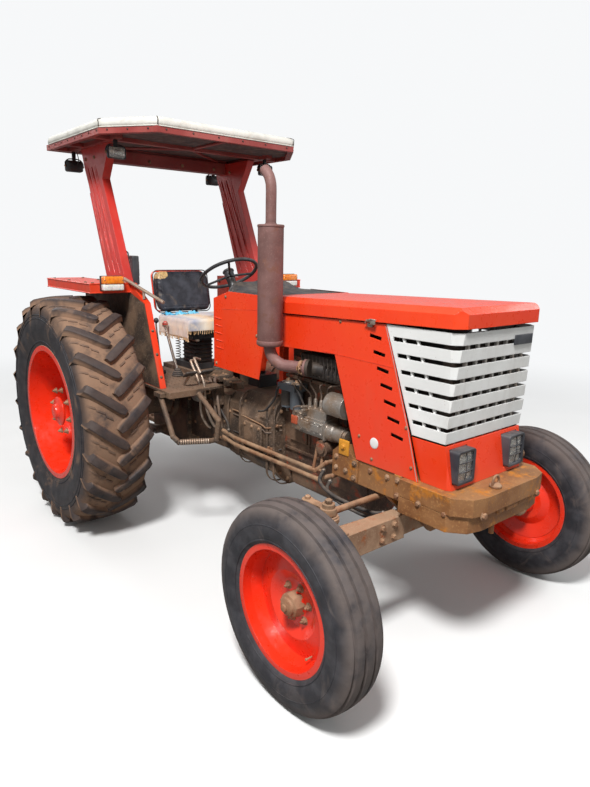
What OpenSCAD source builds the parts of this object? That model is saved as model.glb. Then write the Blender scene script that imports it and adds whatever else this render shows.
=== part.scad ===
// Vintage two-wheel-drive farm tractor with an open engine bay, a flat canopy on two posts
// and a three-point rear linkage. X points forward, Y to the left, Z up, and the tyres stand on Z = 0.
// Every piece is drawn with the rear axle at X = 0, and placed() shifts it to the middle of the length.

/* [Rear wheels] */
// Distance from rear axle to front axle
wheelbase = 2400; // [2300:10:2500]
// Distance between the middles of the two rear tyres
rear_track = 1830; // [1780:10:1900]
// Rear tyre radius out to the lug tips
rear_tyre_r = 784; // [770:1:800]
// Rear tyre width over the side walls
rear_tyre_w = 430; // [400:2:440]
// Height of a rear tyre lug
lug_h = 34; // [20:1:40]
// Number of lugs on each half of a rear tyre
lug_count = 22; // [20:1:24]
// Radius of the rear rim over its flanges
rear_rim_r = 457; // [440:1:470]
// Width of the rear rim over its flanges
rear_rim_w = 384; // [360:2:390]
// Inset of the rear wheel disc from the outer flange
rear_dish = 235; // [200:5:260]
// Radius of the rear axle shaft
rear_shaft_r = 42; // [36:1:48]

/* [Front wheels] */
// Distance between the middles of the two front tyres
front_track = 1830; // [1800:10:1900]
// Front tyre radius
front_tyre_r = 448; // [436:1:456]
// Front tyre width over the side walls
front_tyre_w = 208; // [190:2:220]
// Radius of the front rim over its flanges
front_rim_r = 281; // [270:1:290]
// Width of the front rim over its flanges
front_rim_w = 166; // [150:2:176]
// Inset of the front wheel disc from the outer flange
front_dish = 95; // [80:1:110]
// Radius of the front wheel spindle
spindle_r = 22; // [18:1:26]

/* [Front axle and steering] */
// Inset of the kingpin from the middle of the tyre
kingpin_in = 180; // [175:5:195]
// Radius of a kingpin
kingpin_r = 19; // [16:1:22]
// Height of the middle of the axle beam
axle_z = 632; // [620:2:644]
// Height of the axle beam
axle_h = 120; // [100:2:130]
// Width of the axle beam at its middle, fore and aft
axle_w = 76; // [70:2:90]
// Length of a steering arm
steer_arm = 134; // [130:2:150]
// Radius of the tie rod
tie_rod_r = 16; // [12:1:18]
// Radius of the steering wheel to the middle of its rim
wheel_r = 198; // [180:2:215]
// Thickness of the steering wheel rim, as a radius
wheel_rim_r = 12; // [9:1:15]
// Lean of the steering column towards the seat
column_lean = 31; // [24:1:36]

/* [Hood and grille] */
// Half width of the hood
hood_half = 316; // [300:2:324]
// Front end of the hood
hood_front = 2700; // [2680:5:2740]
// Rear end of the hood
hood_rear = 1408; // [1404:1:1420]
// Height of the flat top of the hood
hood_top = 1678; // [1670:1:1690]
// Height of the hood's sloping band
band_h = 27; // [20:1:34]
// Inward step of the hood's sloping band
hood_band = 34; // [20:1:50]
// Height of the hood side below its sloping band
hood_side_h = 60; // [50:1:70]
// Nose-up tilt of the hood
hood_tilt = 1.6; // [0:0.1:2]
// Thickness of the sheet metal panels
sheet_t = 5; // [4:1:6]
// Half width of the grille at its top
grille_half = 306; // [290:1:310]
// Height of the lower edge of the grille
grille_low = 1090; // [1080:2:1110]
// Number of grille bars
grille_bars = 7; // [5:1:9]
// Height of the gap between two grille bars
grille_gap = 20; // [14:1:24]
// Thickness of the grille bars
grille_t = 9; // [6:1:14]
// Number of cooling slots in a side panel
slot_count = 7; // [5:1:8]
// Length of a cooling slot
slot_l = 74; // [60:2:84]

/* [Cowl and exhaust] */
// Half width of the cowl
cowl_half = 332; // [324:2:342]
// Rear end of the cowl
cowl_rear = 872; // [860:2:890]
// Height of the lower edge of the cowl
cowl_low = 1155; // [1145:5:1170]
// Radius of the muffler
muffler_r = 68; // [60:1:74]
// Height of the muffler can
muffler_h = 636; // [600:4:660]
// Radius of the exhaust pipe
stack_r = 26; // [22:1:30]
// Height of the top of the exhaust stack
stack_top = 2310; // [2260:5:2360]

/* [Canopy] */
// Half width of the canopy
canopy_half = 764; // [740:4:800]
// Front edge of the canopy
canopy_front = 580; // [560:5:620]
// Rear edge of the canopy
canopy_rear = -704; // [-760:4:-690]
// Corner cut of the canopy's front, along its side
canopy_cut = 322; // [260:2:360]
// Corner cut of the canopy's front, across
canopy_cut_y = 232; // [200:2:260]
// Height of the lower edge of the canopy rim
canopy_z = 2572; // [2550:2:2600]
// Height of the canopy rim
rim_h = 38; // [34:2:50]
// Thickness of the roof pad at its edge
pad_t = 58; // [50:2:80]
// Rise of the roof pad from its edge to its middle
pad_rise = 20; // [10:2:40]
// Width of a canopy post seen from the front
post_w = 58; // [50:2:70]
// Depth of a canopy post at the fender, fore and aft
post_d = 300; // [280:4:320]
// Depth of a canopy post at its head
post_head_d = 255; // [240:5:270]

/* [Driver's place] */
// Inner wall of a fender, from the middle of the tractor
fender_in = 596; // [590:2:610]
// Outer edge of a fender, from the middle of the tractor
fender_out = 880; // [860:5:900]
// Height of the flat top of a fender
fender_z = 1660; // [1650:2:1680]
// Height of the floor plates
floor_z = 1004; // [996:2:1010]
// Front edge of the floor plates
floor_front = 790; // [770:5:800]
// Width of the seat cushion
seat_w = 500; // [460:5:520]
// Height of the lower face of the seat cushion
cushion_z = 1302; // [1290:2:1320]
// Thickness of the seat cushion
cushion_t = 96; // [80:2:110]

/* [Rear hitch] */
// Length of a lower link between its two balls
link_l = 850; // [820:5:860]
// Half distance between the lower links
link_y = 262; // [255:1:280]
// Downward slope of the lower links as the tractor stands
link_slope = 8; // [4:1:10]
// Length of a lift arm
lift_arm_l = 300; // [280:5:320]
// Radius of the hole in a lower link's rear ball
link_hole_r = 14.35; // [11.2:0.05:14.4]
// Radius of the power take-off shaft
pto_r = 17.45; // [17.4:0.05:22.3]

/* [Hidden] */
$fn = 48;

// Running clearance of a shaft in its hole, on the radius
run = 0.05;
// Gap between pieces that stand face to face without touching
seat_gap = 0.3;
// Gap beside a moving piece
move_gap = 6;
// Gap between the cowl and the hood, wide enough for the hood's rear edge to swing down into
hood_gap = 16;

right = -1;
left = 1;
body_red = [0.86, 0.16, 0.05];
frame_red = [0.62, 0.09, 0.06];
rust = [0.36, 0.22, 0.14];
black = [0.08, 0.08, 0.08];
white = [0.9, 0.89, 0.85];
steel = [0.55, 0.55, 0.56];

// Overall length, from the ends of the lower links to the front weights
weight_front = hood_front + 120;
// Half distance between the two kingpins
kingpin_y = front_track / 2 - kingpin_in;
link_x = -84;
link_z = 500;
link_end_x = link_x - link_l * cos(link_slope);
link_ball_r = 34;
rear_end = min(link_end_x - link_ball_r, canopy_rear);
frame_x = -(weight_front + rear_end) / 2;

module placed() {
  translate([frame_x, 0, 0]) children();
}

// A profile in the X-Z plane, given thickness across the tractor from y0 to y1
module across(points, y0, y1) {
  translate([0, y1, 0]) rotate([90, 0, 0]) linear_extrude(y1 - y0) polygon(points);
}

// A profile in the Y-Z plane, run fore and aft from x0 to x1
module along(points, x0, x1) {
  translate([x0, 0, 0]) rotate([90, 0, 90]) linear_extrude(x1 - x0) polygon(points);
}

// A block between two corners
module block(a, b) {
  translate(a) cube(b - a);
}

// A round bar across the tractor, from y0 to y1
module bar_y(x, z, r, y0, y1) {
  translate([x, y1, z]) rotate([90, 0, 0]) cylinder(r = r, h = y1 - y0);
}

// A round bar fore and aft, from x0 to x1
module bar_x(y, z, r, x0, x1) {
  translate([x0, y, z]) rotate([0, 90, 0]) cylinder(r = r, h = x1 - x0);
}

// A round bar between any two points
module rod(a, b, r) {
  v = b - a;
  l = norm(v);
  translate(a) rotate([0, acos(v[2] / l), atan2(v[1], v[0])]) cylinder(r = r, h = l);
}

// A tube with round corners through a list of points
module tube_path(points, r) {
  for (i = [0 : len(points) - 2]) rod(points[i], points[i + 1], r);
  for (i = [1 : len(points) - 2]) translate(points[i]) rotate([90, 0, 50]) sphere(r = r + 1.2);
}

// The same shape on both sides of the tractor
module both_sides() {
  children();
  mirror([0, 1, 0]) children();
}

/* Transmission */
box_half = 178;
bell_x = 1400;
trumpet_y = 640;
trumpet_r = 92;
axle_flange_r = 165;
pto_z = 640;
pto_x = -372;
housing_rear = -262;
toplink_z = 830;
toplink_hole_r = 12.85;
rear_disc_y = rear_track / 2 + rear_rim_w / 2 - rear_dish;
rear_disc_t = 14;

module transmission() {
  color(rust) placed() difference() {
    union() {
      across([[housing_rear, 470], [housing_rear, 900], [-190, 975], [250, 975], [300, 930], [300, 520],
        [230, 455], [-200, 440]], -200, 200);
      across([[290, 540], [290, 900], [820, 940], [820, 560]], -box_half, box_half);
      along([[-box_half, 560], [-box_half, 900], [-120, 965], [120, 965], [box_half, 900],
        [box_half, 560], [120, 505], [-120, 505]], 810, 1010);
      along([[-215, 600], [-225, 860], [-150, 1010], [150, 1010], [225, 860], [215, 600], [120, 500],
        [-120, 500]], 1000, 1330);
      along([[-240, 580], [-250, 880], [-165, 1040], [165, 1040], [250, 880], [240, 580], [130, 480],
        [-130, 480]], 1330, bell_x);
      for (side = [right, left]) {
        translate([0, side * 190, rear_tyre_r]) rotate([-90 * side, 0, 0]) {
          cylinder(r = axle_flange_r, h = 46);
          cylinder(r1 = 138, r2 = trumpet_r, h = trumpet_y - 190);
          translate([0, 0, trumpet_y - 236]) cylinder(r = 112, h = 46);
          cylinder(r = rear_shaft_r, h = rear_disc_y + 70 - 190);
        }
      }
      // Top cover that carries the seat and the gear levers
      block([-170, -150, 970], [370, 150, 1012]);
      block([250, -150, 925], [370, 150, 990]);
      // Carrier of the lift shaft, the top link and the power take-off
      for (side = [right, left])
        block([housing_rear - 34, side * 34 - 8, toplink_z - 60], [housing_rear + 10, side * 34 + 8, toplink_z + 40]);
      for (side = [right, left]) {
        y0 = side * 190;
        bar_y(link_x, link_z, 34, min(y0, side * (link_y - 24)), max(y0, side * (link_y - 24)));
        bar_y(link_x, link_z, link_hole_r - run, min(y0, side * (link_y + 34)), max(y0, side * (link_y + 34)));
        // Pad on the axle housing that carries the platform
        block([-48, side * 520 - 40, rear_tyre_r], [48, side * 520 + 40, floor_z - 16 - seat_gap]);
      }
      bar_x(0, pto_z, 62, housing_rear - 22, housing_rear + 5);
      bar_x(0, pto_z, pto_r, pto_x, housing_rear);
    }
    bar_y(housing_rear - 16, toplink_z, toplink_hole_r, -60, 60);
    bar_y(lift_x, lift_z, lift_shaft_r + run, -240, 240);
  }
}

/* Engine */
fan_r = 250;
fan_z = 884 + seat_gap + fan_r + 8;
engine_front = 2080;
block_half = 165;
module engine() {
  x0 = bell_x + seat_gap;
  // Ribs on the crankcase. Columns: side, x, lower end, upper end
  crank_ribs = [[left, bell_x + 40, 776, 1110], [left, bell_x + 236, 776, 1110], [left, bell_x + 500, 776, 1110],
    [right, bell_x + 220, 776, 1040], [right, engine_front - 46, rail_top - 12, 1040]];
  color(rust) placed() {
    difference() {
      union() {
        along([[-150, 600], [-block_half, 760], [-block_half, 1120], [-140, 1180], [140, 1180], [block_half, 1120],
          [block_half, 760], [150, 600]], x0, engine_front);
        along([[-130, 640], [-118, 500], [-90, 478], [90, 478], [118, 500], [130, 640]], bell_x + 20, engine_front - 30);
        block([bell_x + 30, -135, 1175], [engine_front - 20, 135, 1290]);
        // Three lids over the heads, each with its rocker dome
        for (i = [0 : 2]) {
          x = bell_x + 55 + i * 200;
          along([[-110, 1285], [-110, 1310], [-78, 1352], [-60, 1372], [60, 1372], [78, 1352], [110, 1310], [110, 1285]], x, x + 182);
          block([x + 30, -40, 1370], [x + 152, 40, 1388]);
        }
        // Flanges of the head and of the sump
        block([bell_x + 8, -block_half - 8, 1168], [engine_front - 6, block_half + 8, 1186]);
        block([bell_x + 8, -block_half - 8, 728], [engine_front - 6, block_half + 8, 744]);
        // Covers and ribs on the crankcase
        for (side = [right, left]) {
          for (i = [0, 1]) block([bell_x + 62 + i * 260, side * (block_half + 4) - 10, 796], [bell_x + 212 + i * 260, side * (block_half + 4) + 10, 874]);
        }
        for (r = crank_ribs) block([r[1], r[0] * block_half - 9, r[2]], [r[1] + 14, r[0] * block_half + 9, r[3]]);
        // Oil filter on the right
        bar_y(1830, 850, 46, -block_half - 96, -block_half + 4);
        bar_y(1830, 850, 30, -block_half - 108, -block_half - 90);
        // Intake pipes and their chest on the left
        block([bell_x + 240, block_half - 2, 1000], [engine_front - 130, block_half + 74, 1072]);
        for (i = [0 : 2]) translate([bell_x + 290 + i * 110, block_half + 38, 1060]) cylinder(r = 24, h = 150);
        for (i = [0 : 2]) bar_y(bell_x + 290 + i * 110, 1196, 24, 128, block_half + 38);
        // Water pump with the fan's hub
        block([engine_front - 24, -70, 1070], [engine_front + 46, 70, 1226]);
        bar_x(0, fan_z, 30, engine_front + 40, engine_front + 104);
        bar_x(0, fan_z, 54, engine_front + 70, engine_front + 92);
        // Timing cover and crank pulley at the front
        block([engine_front - 5, -150, 620], [engine_front + 45, 150, 1140]);
        bar_x(0, 700, 92, engine_front + 40, engine_front + 85);
        // Starter on the left
        bar_x(left * 215, 740, 52, x0, bell_x + 230);
        // Fan blades, set at a slant
        for (i = [0 : 5]) translate([engine_front + 81, 0, fan_z]) rotate([i * 60, 0, 0]) rotate([0, 0, 32])
          block([-2, -34, 40], [2, 34, fan_r - 24]);
      }
      // Water jacket recesses between the cylinder ribs
      for (i = [0 : 3]) for (side = [right, left])
        translate([bell_x + 105 + i * 155, side * (block_half + 11), 990]) cube([96, 44, 150], center = true);
    }
  }
}

/* Exhaust */
muffler_x = 1545;
muffler_y = -402;
muffler_z = 1384;
elbow_turn = 28;
elbow_r = 100;
elbow_leg = 120;
log_y = -222;
log_z = muffler_z - elbow_r;
flange_x = muffler_x + (elbow_r + elbow_leg) * cos(elbow_turn);
flange_y = muffler_y + (elbow_r + elbow_leg) * sin(elbow_turn);

pipe_flange_r = 46;
module exhaust_manifold() {
  color(rust) placed() {
    bar_x(log_y, log_z - 30, 40, 1570, 2040);
    for (i = [0 : 3]) {
      bar_y(1605 + i * 135, log_z - 36, 27, log_y, -135 - seat_gap);
      block([1605 + i * 135 - 40, -147, log_z - 70], [1605 + i * 135 + 40, -135 - seat_gap, log_z - 6]);
    }
    rod([flange_x + 26, flange_y + 14, log_z], [flange_x + 90, log_y + 2, log_z - 14], 34);
    translate([flange_x, flange_y, log_z]) rotate([0, 90, elbow_turn]) cylinder(r = pipe_flange_r, h = 16);
  }
}

module exhaust_stack() {
  color([0.42, 0.3, 0.3]) placed() translate([muffler_x, muffler_y, 0]) {
    translate([0, 0, muffler_z]) cylinder(r = muffler_r, h = muffler_h);
    translate([0, 0, muffler_z - 14]) cylinder(r = stack_r + 8, h = 16);
    translate([0, 0, muffler_z + muffler_h - 4]) cylinder(r1 = muffler_r, r2 = stack_r + 6, h = 26);
    bend = [0, 0, stack_top - 92];
    tip = [-42, 0, 104];
    difference() {
      union() {
        cylinder_up(muffler_z + muffler_h, bend[2], stack_r);
        translate(bend) rotate([90, 0, 45]) sphere(r = stack_r + 1);
        rod(bend, bend + tip, stack_r);
      }
      rod(bend + 0.4 * tip, bend + 1.1 * tip, stack_r - 4);
    }
    // Elbow down to the manifold flange
    rotate([0, 0, elbow_turn]) {
      translate([elbow_r, 0, muffler_z]) rotate([90, 0, 0]) rotate([0, 0, 180])
        rotate_extrude(angle = 90) translate([elbow_r, 0]) circle(r = stack_r + 6);
      bar_x(0, log_z, stack_r + 6, elbow_r, elbow_r + elbow_leg - 14);
      bar_x(0, log_z, pipe_flange_r, elbow_r + elbow_leg - 16, elbow_r + elbow_leg - seat_gap);
    }
  }
}

module cylinder_up(z0, z1, r) {
  translate([0, 0, z0]) cylinder(r = r, h = z1 - z0);
}

/* Engine side pieces */
module injection_pump() {
  color(steel) placed() {
    block([1640, -262, 905], [1860, -block_half - seat_gap, 1000]);
    block([1652, -250, 995], [1848, -188, 1050]);
    for (i = [0 : 3]) translate([1680 + i * 46, -219, 1048]) cylinder(r = 11, h = 42);
    bar_x(-219, 945, 52, 1855, 1900);
    bar_x(-219, 945, 44, 1895, 1975);
    bar_x(-219, 950, 44, 1604, 1645);
    block([1568, -254, 908], [1610, -190, 988]);
    block([1664, -272, 922], [1838, -258, 988]);
    for (x = [1664, 1752]) block([x, -278, 936], [x + 66, -268, 974]);
    block([1846, -270, 900], [1860, -172, 1012]);
    bar_x(-219, 945, 30, 1970, 1990);
    bar_y(1700, 1040, 9, -296, -240);
  }
}

module fuel_filters() {
  color([0.2, 0.25, 0.3]) placed() {
    block([1440, -262, 1112], [1592, -block_half - seat_gap, 1152]);
    for (i = [0, 1]) translate([1475 + i * 80, -212, 1006]) cylinder(r = 37, h = 108);
    for (i = [0, 1]) translate([1475 + i * 80, -212, 996]) cylinder(r = 14, h = 12);
  }
}

module alternator() {
  color(steel) placed() {
    bar_x(-248, 1110, 62, 1880, 2010);
    bar_x(-248, 1110, 14, 2005, 2050);
    bar_x(-248, 1110, 38, 2030, 2052);
    block([1900, -210, 1070], [1990, -165 - seat_gap, 1100]);
  }
}

module fluid_pipes() {
  color(rust) placed() {
    tube_path([[842, -250, 712], [1000, -262, 700], [1790, -262, 712], [1852, -240, 770], [1852, -block_half - seat_gap, 770]], 13);
    tube_path([[842, -250, 668], [1010, -262, 656], [1810, -262, 668], [1905, -240, 712], [1905, -block_half - seat_gap, 712]], 13);
    // Clips on the bell housing
    for (x = [1345, 1375]) along([[-256, 640], [-242 - seat_gap, 640], [-245 - seat_gap, 730], [-256, 730]], x - 9, x + 9);
  }
}

rad_x = hood_front - 465;
module radiator() {
  z0 = rail_top + seat_gap;
  color(black) placed() {
    block([rad_x + 12, -262, z0 + 40], [rad_x + 88, 262, 1500]);
    block([rad_x, -270, z0], [rad_x + 100, 270, z0 + 56]);
    along([[-270, 1476], [-270, 1520], [-220, 1546], [220, 1546], [270, 1520], [270, 1476]], rad_x - 4, rad_x + 104);
    translate([rad_x + 50, -30, 1540]) cylinder(r = 31, h = 18);
    for (y = [-270, 262]) block([rad_x, y, z0 + 50], [rad_x + 100, y + 8, 1480]);
    difference() {
      bar_x(0, z0 + fan_r + 8, fan_r, rad_x - 105, rad_x + 5);
      bar_x(0, z0 + fan_r + 8, fan_r - 12, rad_x - 115, rad_x - 7);
    }
  }
}

/* Front frame, weights and axle */
rail_y = 300;
rail_t = 34;
rail_top = 884;
rail_low = 756;
rail_x0 = 1960;
frame_front = hood_front - 90;
pivot_r = 40;
axle_x = wheelbase;
saddle_t = 26;
saddle_gap = 6;

module front_frame() {
  color(rust) placed() difference() {
    union() {
      for (side = [right, left]) {
        y0 = min(side * rail_y, side * (rail_y - rail_t));
        // Side rail with a hump over the pump
        across([[rail_x0, rail_low], [rail_x0, rail_top], [rail_x0 + 62, rail_top + 52], [rail_x0 + 110, rail_top + 52],
          [rail_x0 + 148, rail_top], [frame_front, rail_top], [frame_front, rail_low], [rail_x0, rail_low]], y0, y0 + rail_t);
        // Bolting pad between the rail and the engine
        block([rail_x0, side > 0 ? block_half + seat_gap : -rail_y, rail_low + 34], [engine_front - 4, side > 0 ? rail_y : -block_half - seat_gap, rail_top - 20]);
      }
      block([engine_front + 95, -rail_y, rail_top - 30], [frame_front, rail_y, rail_top]);
      block([frame_front - 60, -rail_y, rail_low], [frame_front, rail_y, rail_top]);
      // Saddle that carries the axle pivot, one wall before and one behind the beam
      for (x = [axle_x - axle_w / 2 - saddle_gap - saddle_t, axle_x + axle_w / 2 + saddle_gap])
        along([[-rail_y + 1, rail_top - 10], [-rail_y + 1, rail_low], [-110, axle_z - 66], [110, axle_z - 66], [rail_y - 1, rail_low],
          [rail_y - 1, rail_top - 10]], x, x + saddle_t);
    }
    bar_x(0, axle_z, pivot_r, axle_x - 200, axle_x + 200);
  }
}

weight_half = 338;
weight_rear = axle_x + 46;
// Columns: lower face, upper face, lead of the front face
weight_rows = [[722, 800, 0], [802, rail_top, 20]];
module front_weights() {
  color(rust) placed() {
    x0 = frame_front + seat_gap;
    for (w = weight_rows) {
      x1 = weight_front - 20 + w[2];
      translate([0, 0, w[0]]) linear_extrude(w[1] - w[0])
        polygon([[weight_rear, -weight_half], [x1 - 90, -weight_half], [x1 - 18, -weight_half + 62], [x1, -weight_half + 140],
          [x1, weight_half - 140], [x1 - 18, weight_half - 62], [x1 - 90, weight_half], [weight_rear, weight_half],
          [weight_rear, rail_y + seat_gap], [x0, rail_y + seat_gap], [x0, -rail_y - seat_gap], [weight_rear, -rail_y - seat_gap]]);
    }
    block([frame_front + 10, -250, 796], [weight_front - 60, 250, 806]);
    // Tow pin with its loop
    translate([weight_front - 50, -70, 664]) cylinder(r = 12, h = rail_top - 660);
    translate([weight_front - 50, -70, rail_top - 4]) cylinder(r = 22, h = 20);
  }
}

// Top of the kingpin's tube at the end of the beam
tube_top = axle_z + 168;
tube_low = axle_z - 74;
module front_axle() {
  beam_end = kingpin_y - 34;
  arm_in = 276;
  z0 = axle_z - axle_h / 2;
  color(rust) placed() difference() {
    union() {
      // Slim middle, and on each side a deeper arm that widens to the kingpin
      block([axle_x - axle_w / 2, -arm_in - 60, z0 + 14], [axle_x + axle_w / 2, arm_in + 60, axle_z + axle_h / 2 - 10]);
      both_sides() translate([axle_x, 0, z0]) linear_extrude(axle_h)
        polygon([[axle_w / 2 + 4, -arm_in], [axle_w / 2 + 4, -beam_end], [-axle_w / 2 - 24, -beam_end], [-axle_w / 2 + 4, -arm_in]]);
      for (side = [right, left]) translate([axle_x, side * kingpin_y, tube_low]) cylinder(r = 44, h = tube_top - tube_low);
      bar_x(0, axle_z, pivot_r - run, axle_x - axle_w / 2 - saddle_gap - saddle_t, axle_x + axle_w / 2 + saddle_gap + saddle_t);
    }
    for (side = [right, left]) translate([axle_x, side * kingpin_y, tube_low - 20]) cylinder(r = kingpin_r + run, h = tube_top - tube_low + 40);
  }
}

/* Steering */
arm_z = tube_top + 6;
rod_z = arm_z - 80;
front_disc_y = front_track / 2 + front_rim_w / 2 - front_dish;
hub_r = 58;

module knuckle(side) {
  color(rust) placed() translate([axle_x, 0, 0]) {
    // Kingpin with the spindle block below the axle
    translate([0, side * kingpin_y, front_tyre_r]) cylinder(r = kingpin_r, h = arm_z + 46 - front_tyre_r);
    translate([0, side * kingpin_y, front_tyre_r - 42]) cylinder(r = 42, h = tube_low - 6 - front_tyre_r + 42);
    bar_y(0, front_tyre_r, 36, min(side * kingpin_y, side * (kingpin_y + 60)), max(side * kingpin_y, side * (kingpin_y + 60)));
    bar_y(0, front_tyre_r, spindle_r, min(side * kingpin_y, side * (front_disc_y + 38)), max(side * kingpin_y, side * (front_disc_y + 38)));
    // Steering arm above the axle, pointing to the rear, with the kingpin's cap
    translate([0, side * kingpin_y, arm_z - 2]) cylinder(r = 36, h = 30);
    translate([0, side * kingpin_y, arm_z + 27]) cylinder(r = 28, h = 20);
    block([-steer_arm, side * kingpin_y - 20, arm_z], [0, side * kingpin_y + 20, arm_z + 24]);
    translate([-steer_arm, side * kingpin_y, arm_z]) cylinder(r = 26, h = 24);
    // Boss that carries the tie rod's pin below the arm
    translate([-steer_arm, side * kingpin_y, rod_z + 28]) cylinder(r = 18, h = arm_z - rod_z - 26);
    translate([-steer_arm, side * kingpin_y, rod_z - 26]) cylinder(r = 10, h = arm_z - rod_z + 28);
  }
}

module tie_rod() {
  color(steel) placed() translate([axle_x - steer_arm, 0, rod_z]) difference() {
    union() {
      bar_y(0, 0, tie_rod_r, -kingpin_y + 10, kingpin_y - 10);
      for (side = [right, left]) translate([0, side * kingpin_y, -22]) cylinder(r = 24, h = 44);
    }
    for (side = [right, left]) translate([0, side * kingpin_y, -40]) cylinder(r = 10 + run, h = 80);
  }
}

wheel_x = 547;
wheel_z = 1727;
column_pin_r = 11;
module column_frame() {
  translate([wheel_x, 0, wheel_z]) rotate([0, -column_lean, 0]) children();
}

module steering_column() {
  color(black) placed() {
    intersection() {
      column_frame() translate([0, 0, -900]) cylinder(r = 30, h = 860);
      block([0, -100, 1012], [1200, 100, 2000]);
    }
    column_frame() translate([0, 0, -60]) cylinder(r = column_pin_r, h = 92);
    block([880, -70, 1010], [1010, 70, 1090]);
  }
}

module steering_wheel() {
  color(black) placed() column_frame() difference() {
    union() {
      rotate_extrude() translate([wheel_r, 0]) circle(r = wheel_rim_r, $fn = 24);
      translate([0, 0, -34]) cylinder(r = 34, h = 44);
      for (a = [90, 210, 330]) rotate([0, 0, a]) rod([20, 0, -16], [wheel_r, 0, 0], 8);
    }
    translate([0, 0, -60]) cylinder(r = column_pin_r + run, h = 120);
  }
}

/* Hood, side panels, nose and grille */
corner_cut = 42;
hood_edge = hood_top - band_h;
hood_low = hood_edge - hood_side_h;
// How far the tilted hood lies below its front end at a place x
function hood_drop(x) = (hood_front - x) * tan(hood_tilt);

// Outer form of the hood, shrunk by t on every face but the open ones
module hood_form(t) {
  intersection() {
    translate([hood_front, 0, hood_top]) rotate([0, -hood_tilt, 0])
      along([[-hood_half + t, -band_h - hood_side_h - t], [-hood_half + t, -band_h - t / 3], [-hood_half + hood_band + t, -t],
        [hood_half - hood_band - t, -t], [hood_half - t, -band_h - t / 3], [hood_half - t, -band_h - hood_side_h - t]],
        hood_rear - hood_front - 100, 100);
    across([[hood_rear - t, hood_low - 200], [hood_rear - t, hood_top + 1], [hood_front - hood_band - t, hood_top + 1],
      [hood_front - hood_band - t, hood_top - t / 3], [hood_front - t, hood_edge - t / 3], [hood_front - t, hood_low - 200]],
      -hood_half, hood_half);
    translate([0, 0, hood_low - 200]) linear_extrude(400)
      polygon([[hood_rear - t - 2, -hood_half], [hood_front - corner_cut - t / 2, -hood_half], [hood_front - t / 2, -hood_half + corner_cut],
        [hood_front - t / 2, hood_half - corner_cut], [hood_front - corner_cut - t / 2, hood_half], [hood_rear - t - 2, hood_half]]);
  }
}

hinge_x = hood_rear + 16;
hinge_z = hood_top - hood_drop(hinge_x) - 20;
hinge_r = 6;
module hood() {
  color(body_red) placed() {
    difference() {
      hood_form(0);
      hood_form(sheet_t);
    }
    // Hinge ears under the rear edge
    for (side = [right, left]) difference() {
      translate([hinge_x - 11, side * 200 - 6, hinge_z - 11]) cube([22, 12, 20 - sheet_t + 12]);
      bar_y(hinge_x, hinge_z, hinge_r + run, side * 200 - 20, side * 200 + 20);
    }
  }
}

panel_t = 4;
panel_y = grille_half - panel_t;
// The front stands back towards the foot of the grille and comes forward again in the nose.
// Columns: x of the leading side edge, x of the front face, height
front_top = [hood_front - 410, hood_front - 14, hood_low - hood_drop(hood_front - 410) - move_gap];
front_waist = [hood_front - 237, hood_front - 52, grille_low];
front_foot = [hood_front - 174, hood_front - 16, rail_top + seat_gap];
front_taper = 14;
strip_z = front_top[2] - 180;
panel_points = [[bell_x + 14, strip_z - 24], [bell_x + 14, hood_low - hood_drop(bell_x + 14) - move_gap], [front_top[0] - 4, front_top[2]],
  [front_waist[0] - 1, grille_low], [front_foot[0], front_foot[2]], [hood_front - 564, front_foot[2]], [hood_front - 744, strip_z - 6]];

module side_panels() {
  slot_x = front_top[0] - 64;
  color(body_red) placed() both_sides() difference() {
    across(panel_points, -grille_half, -panel_y);
    for (i = [0 : slot_count - 1])
      translate([slot_x + i * 27, -grille_half, front_top[2] - 66 - i * 74]) rotate([0, 8, 0]) cube([slot_l, 20, 17], center = true);
  }
}

// The stretch of the front between two of those rows, shrunk by t, with its back left open when t is over 0
module front_form(lower, upper, t) {
  back = t > 0 ? 80 : 0;
  grow = t > 0 ? 30 : 0;
  zl = lower[2];
  zu = upper[2];
  h0 = grille_half - t - front_taper * (front_top[2] - zl) / (front_top[2] - grille_low);
  h1 = grille_half - t - front_taper * (front_top[2] - zu) / (front_top[2] - grille_low);
  slope = (upper[1] - lower[1]) / (zu - zl);
  side = (h1 - h0) / (zu - zl);
  x0 = front_top[0] - 90;
  intersection() {
    along([[-h0 + grow * side, zl - grow], [-h1 - grow * side, zu + grow], [h1 + grow * side, zu + grow], [h0 - grow * side, zl - grow]], x0, hood_front);
    across([[lower[0] - back, zl - grow], [upper[0] - back, zu + grow], [upper[1] - t + grow * slope, zu + grow],
      [lower[1] - t - grow * slope, zl - grow]], -hood_half, hood_half);
    translate([0, 0, zl - grow]) linear_extrude(zu - zl + 2 * grow)
      polygon([[x0 - 50, -hood_half], [hood_front - 66 - t / 2, -hood_half], [hood_front - 8 - t / 2, -hood_half + 54], [hood_front - 8 - t / 2, hood_half - 54],
        [hood_front - 66 - t / 2, hood_half], [x0 - 50, hood_half]]);
  }
}

lamp_y = 200;
lamp_w = 130;
lamp_low = 908;
lamp_h = 156;
nose_gap = 9;
module nose() {
  top = [front_waist[0], front_waist[1], front_waist[2] - nose_gap];
  color(body_red) placed() difference() {
    union() {
      difference() {
        front_form(front_foot, top, 0);
        front_form(front_foot, top, sheet_t);
      }
      // Lip turned in along the top, where the grille's posts stand
      block([front_waist[1] - 46, -grille_half + 60, top[2] - 6], [front_waist[1] - 3, grille_half - 60, top[2]]);
    }
    for (side = [right, left])
      block([hood_front - 140, side * lamp_y - lamp_w / 2 - seat_gap, lamp_low - seat_gap], [hood_front + 100, side * lamp_y + lamp_w / 2 + seat_gap, lamp_low + lamp_h + seat_gap]);
  }
}

grille_pitch = (front_top[2] - grille_low + grille_gap) / grille_bars;
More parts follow.
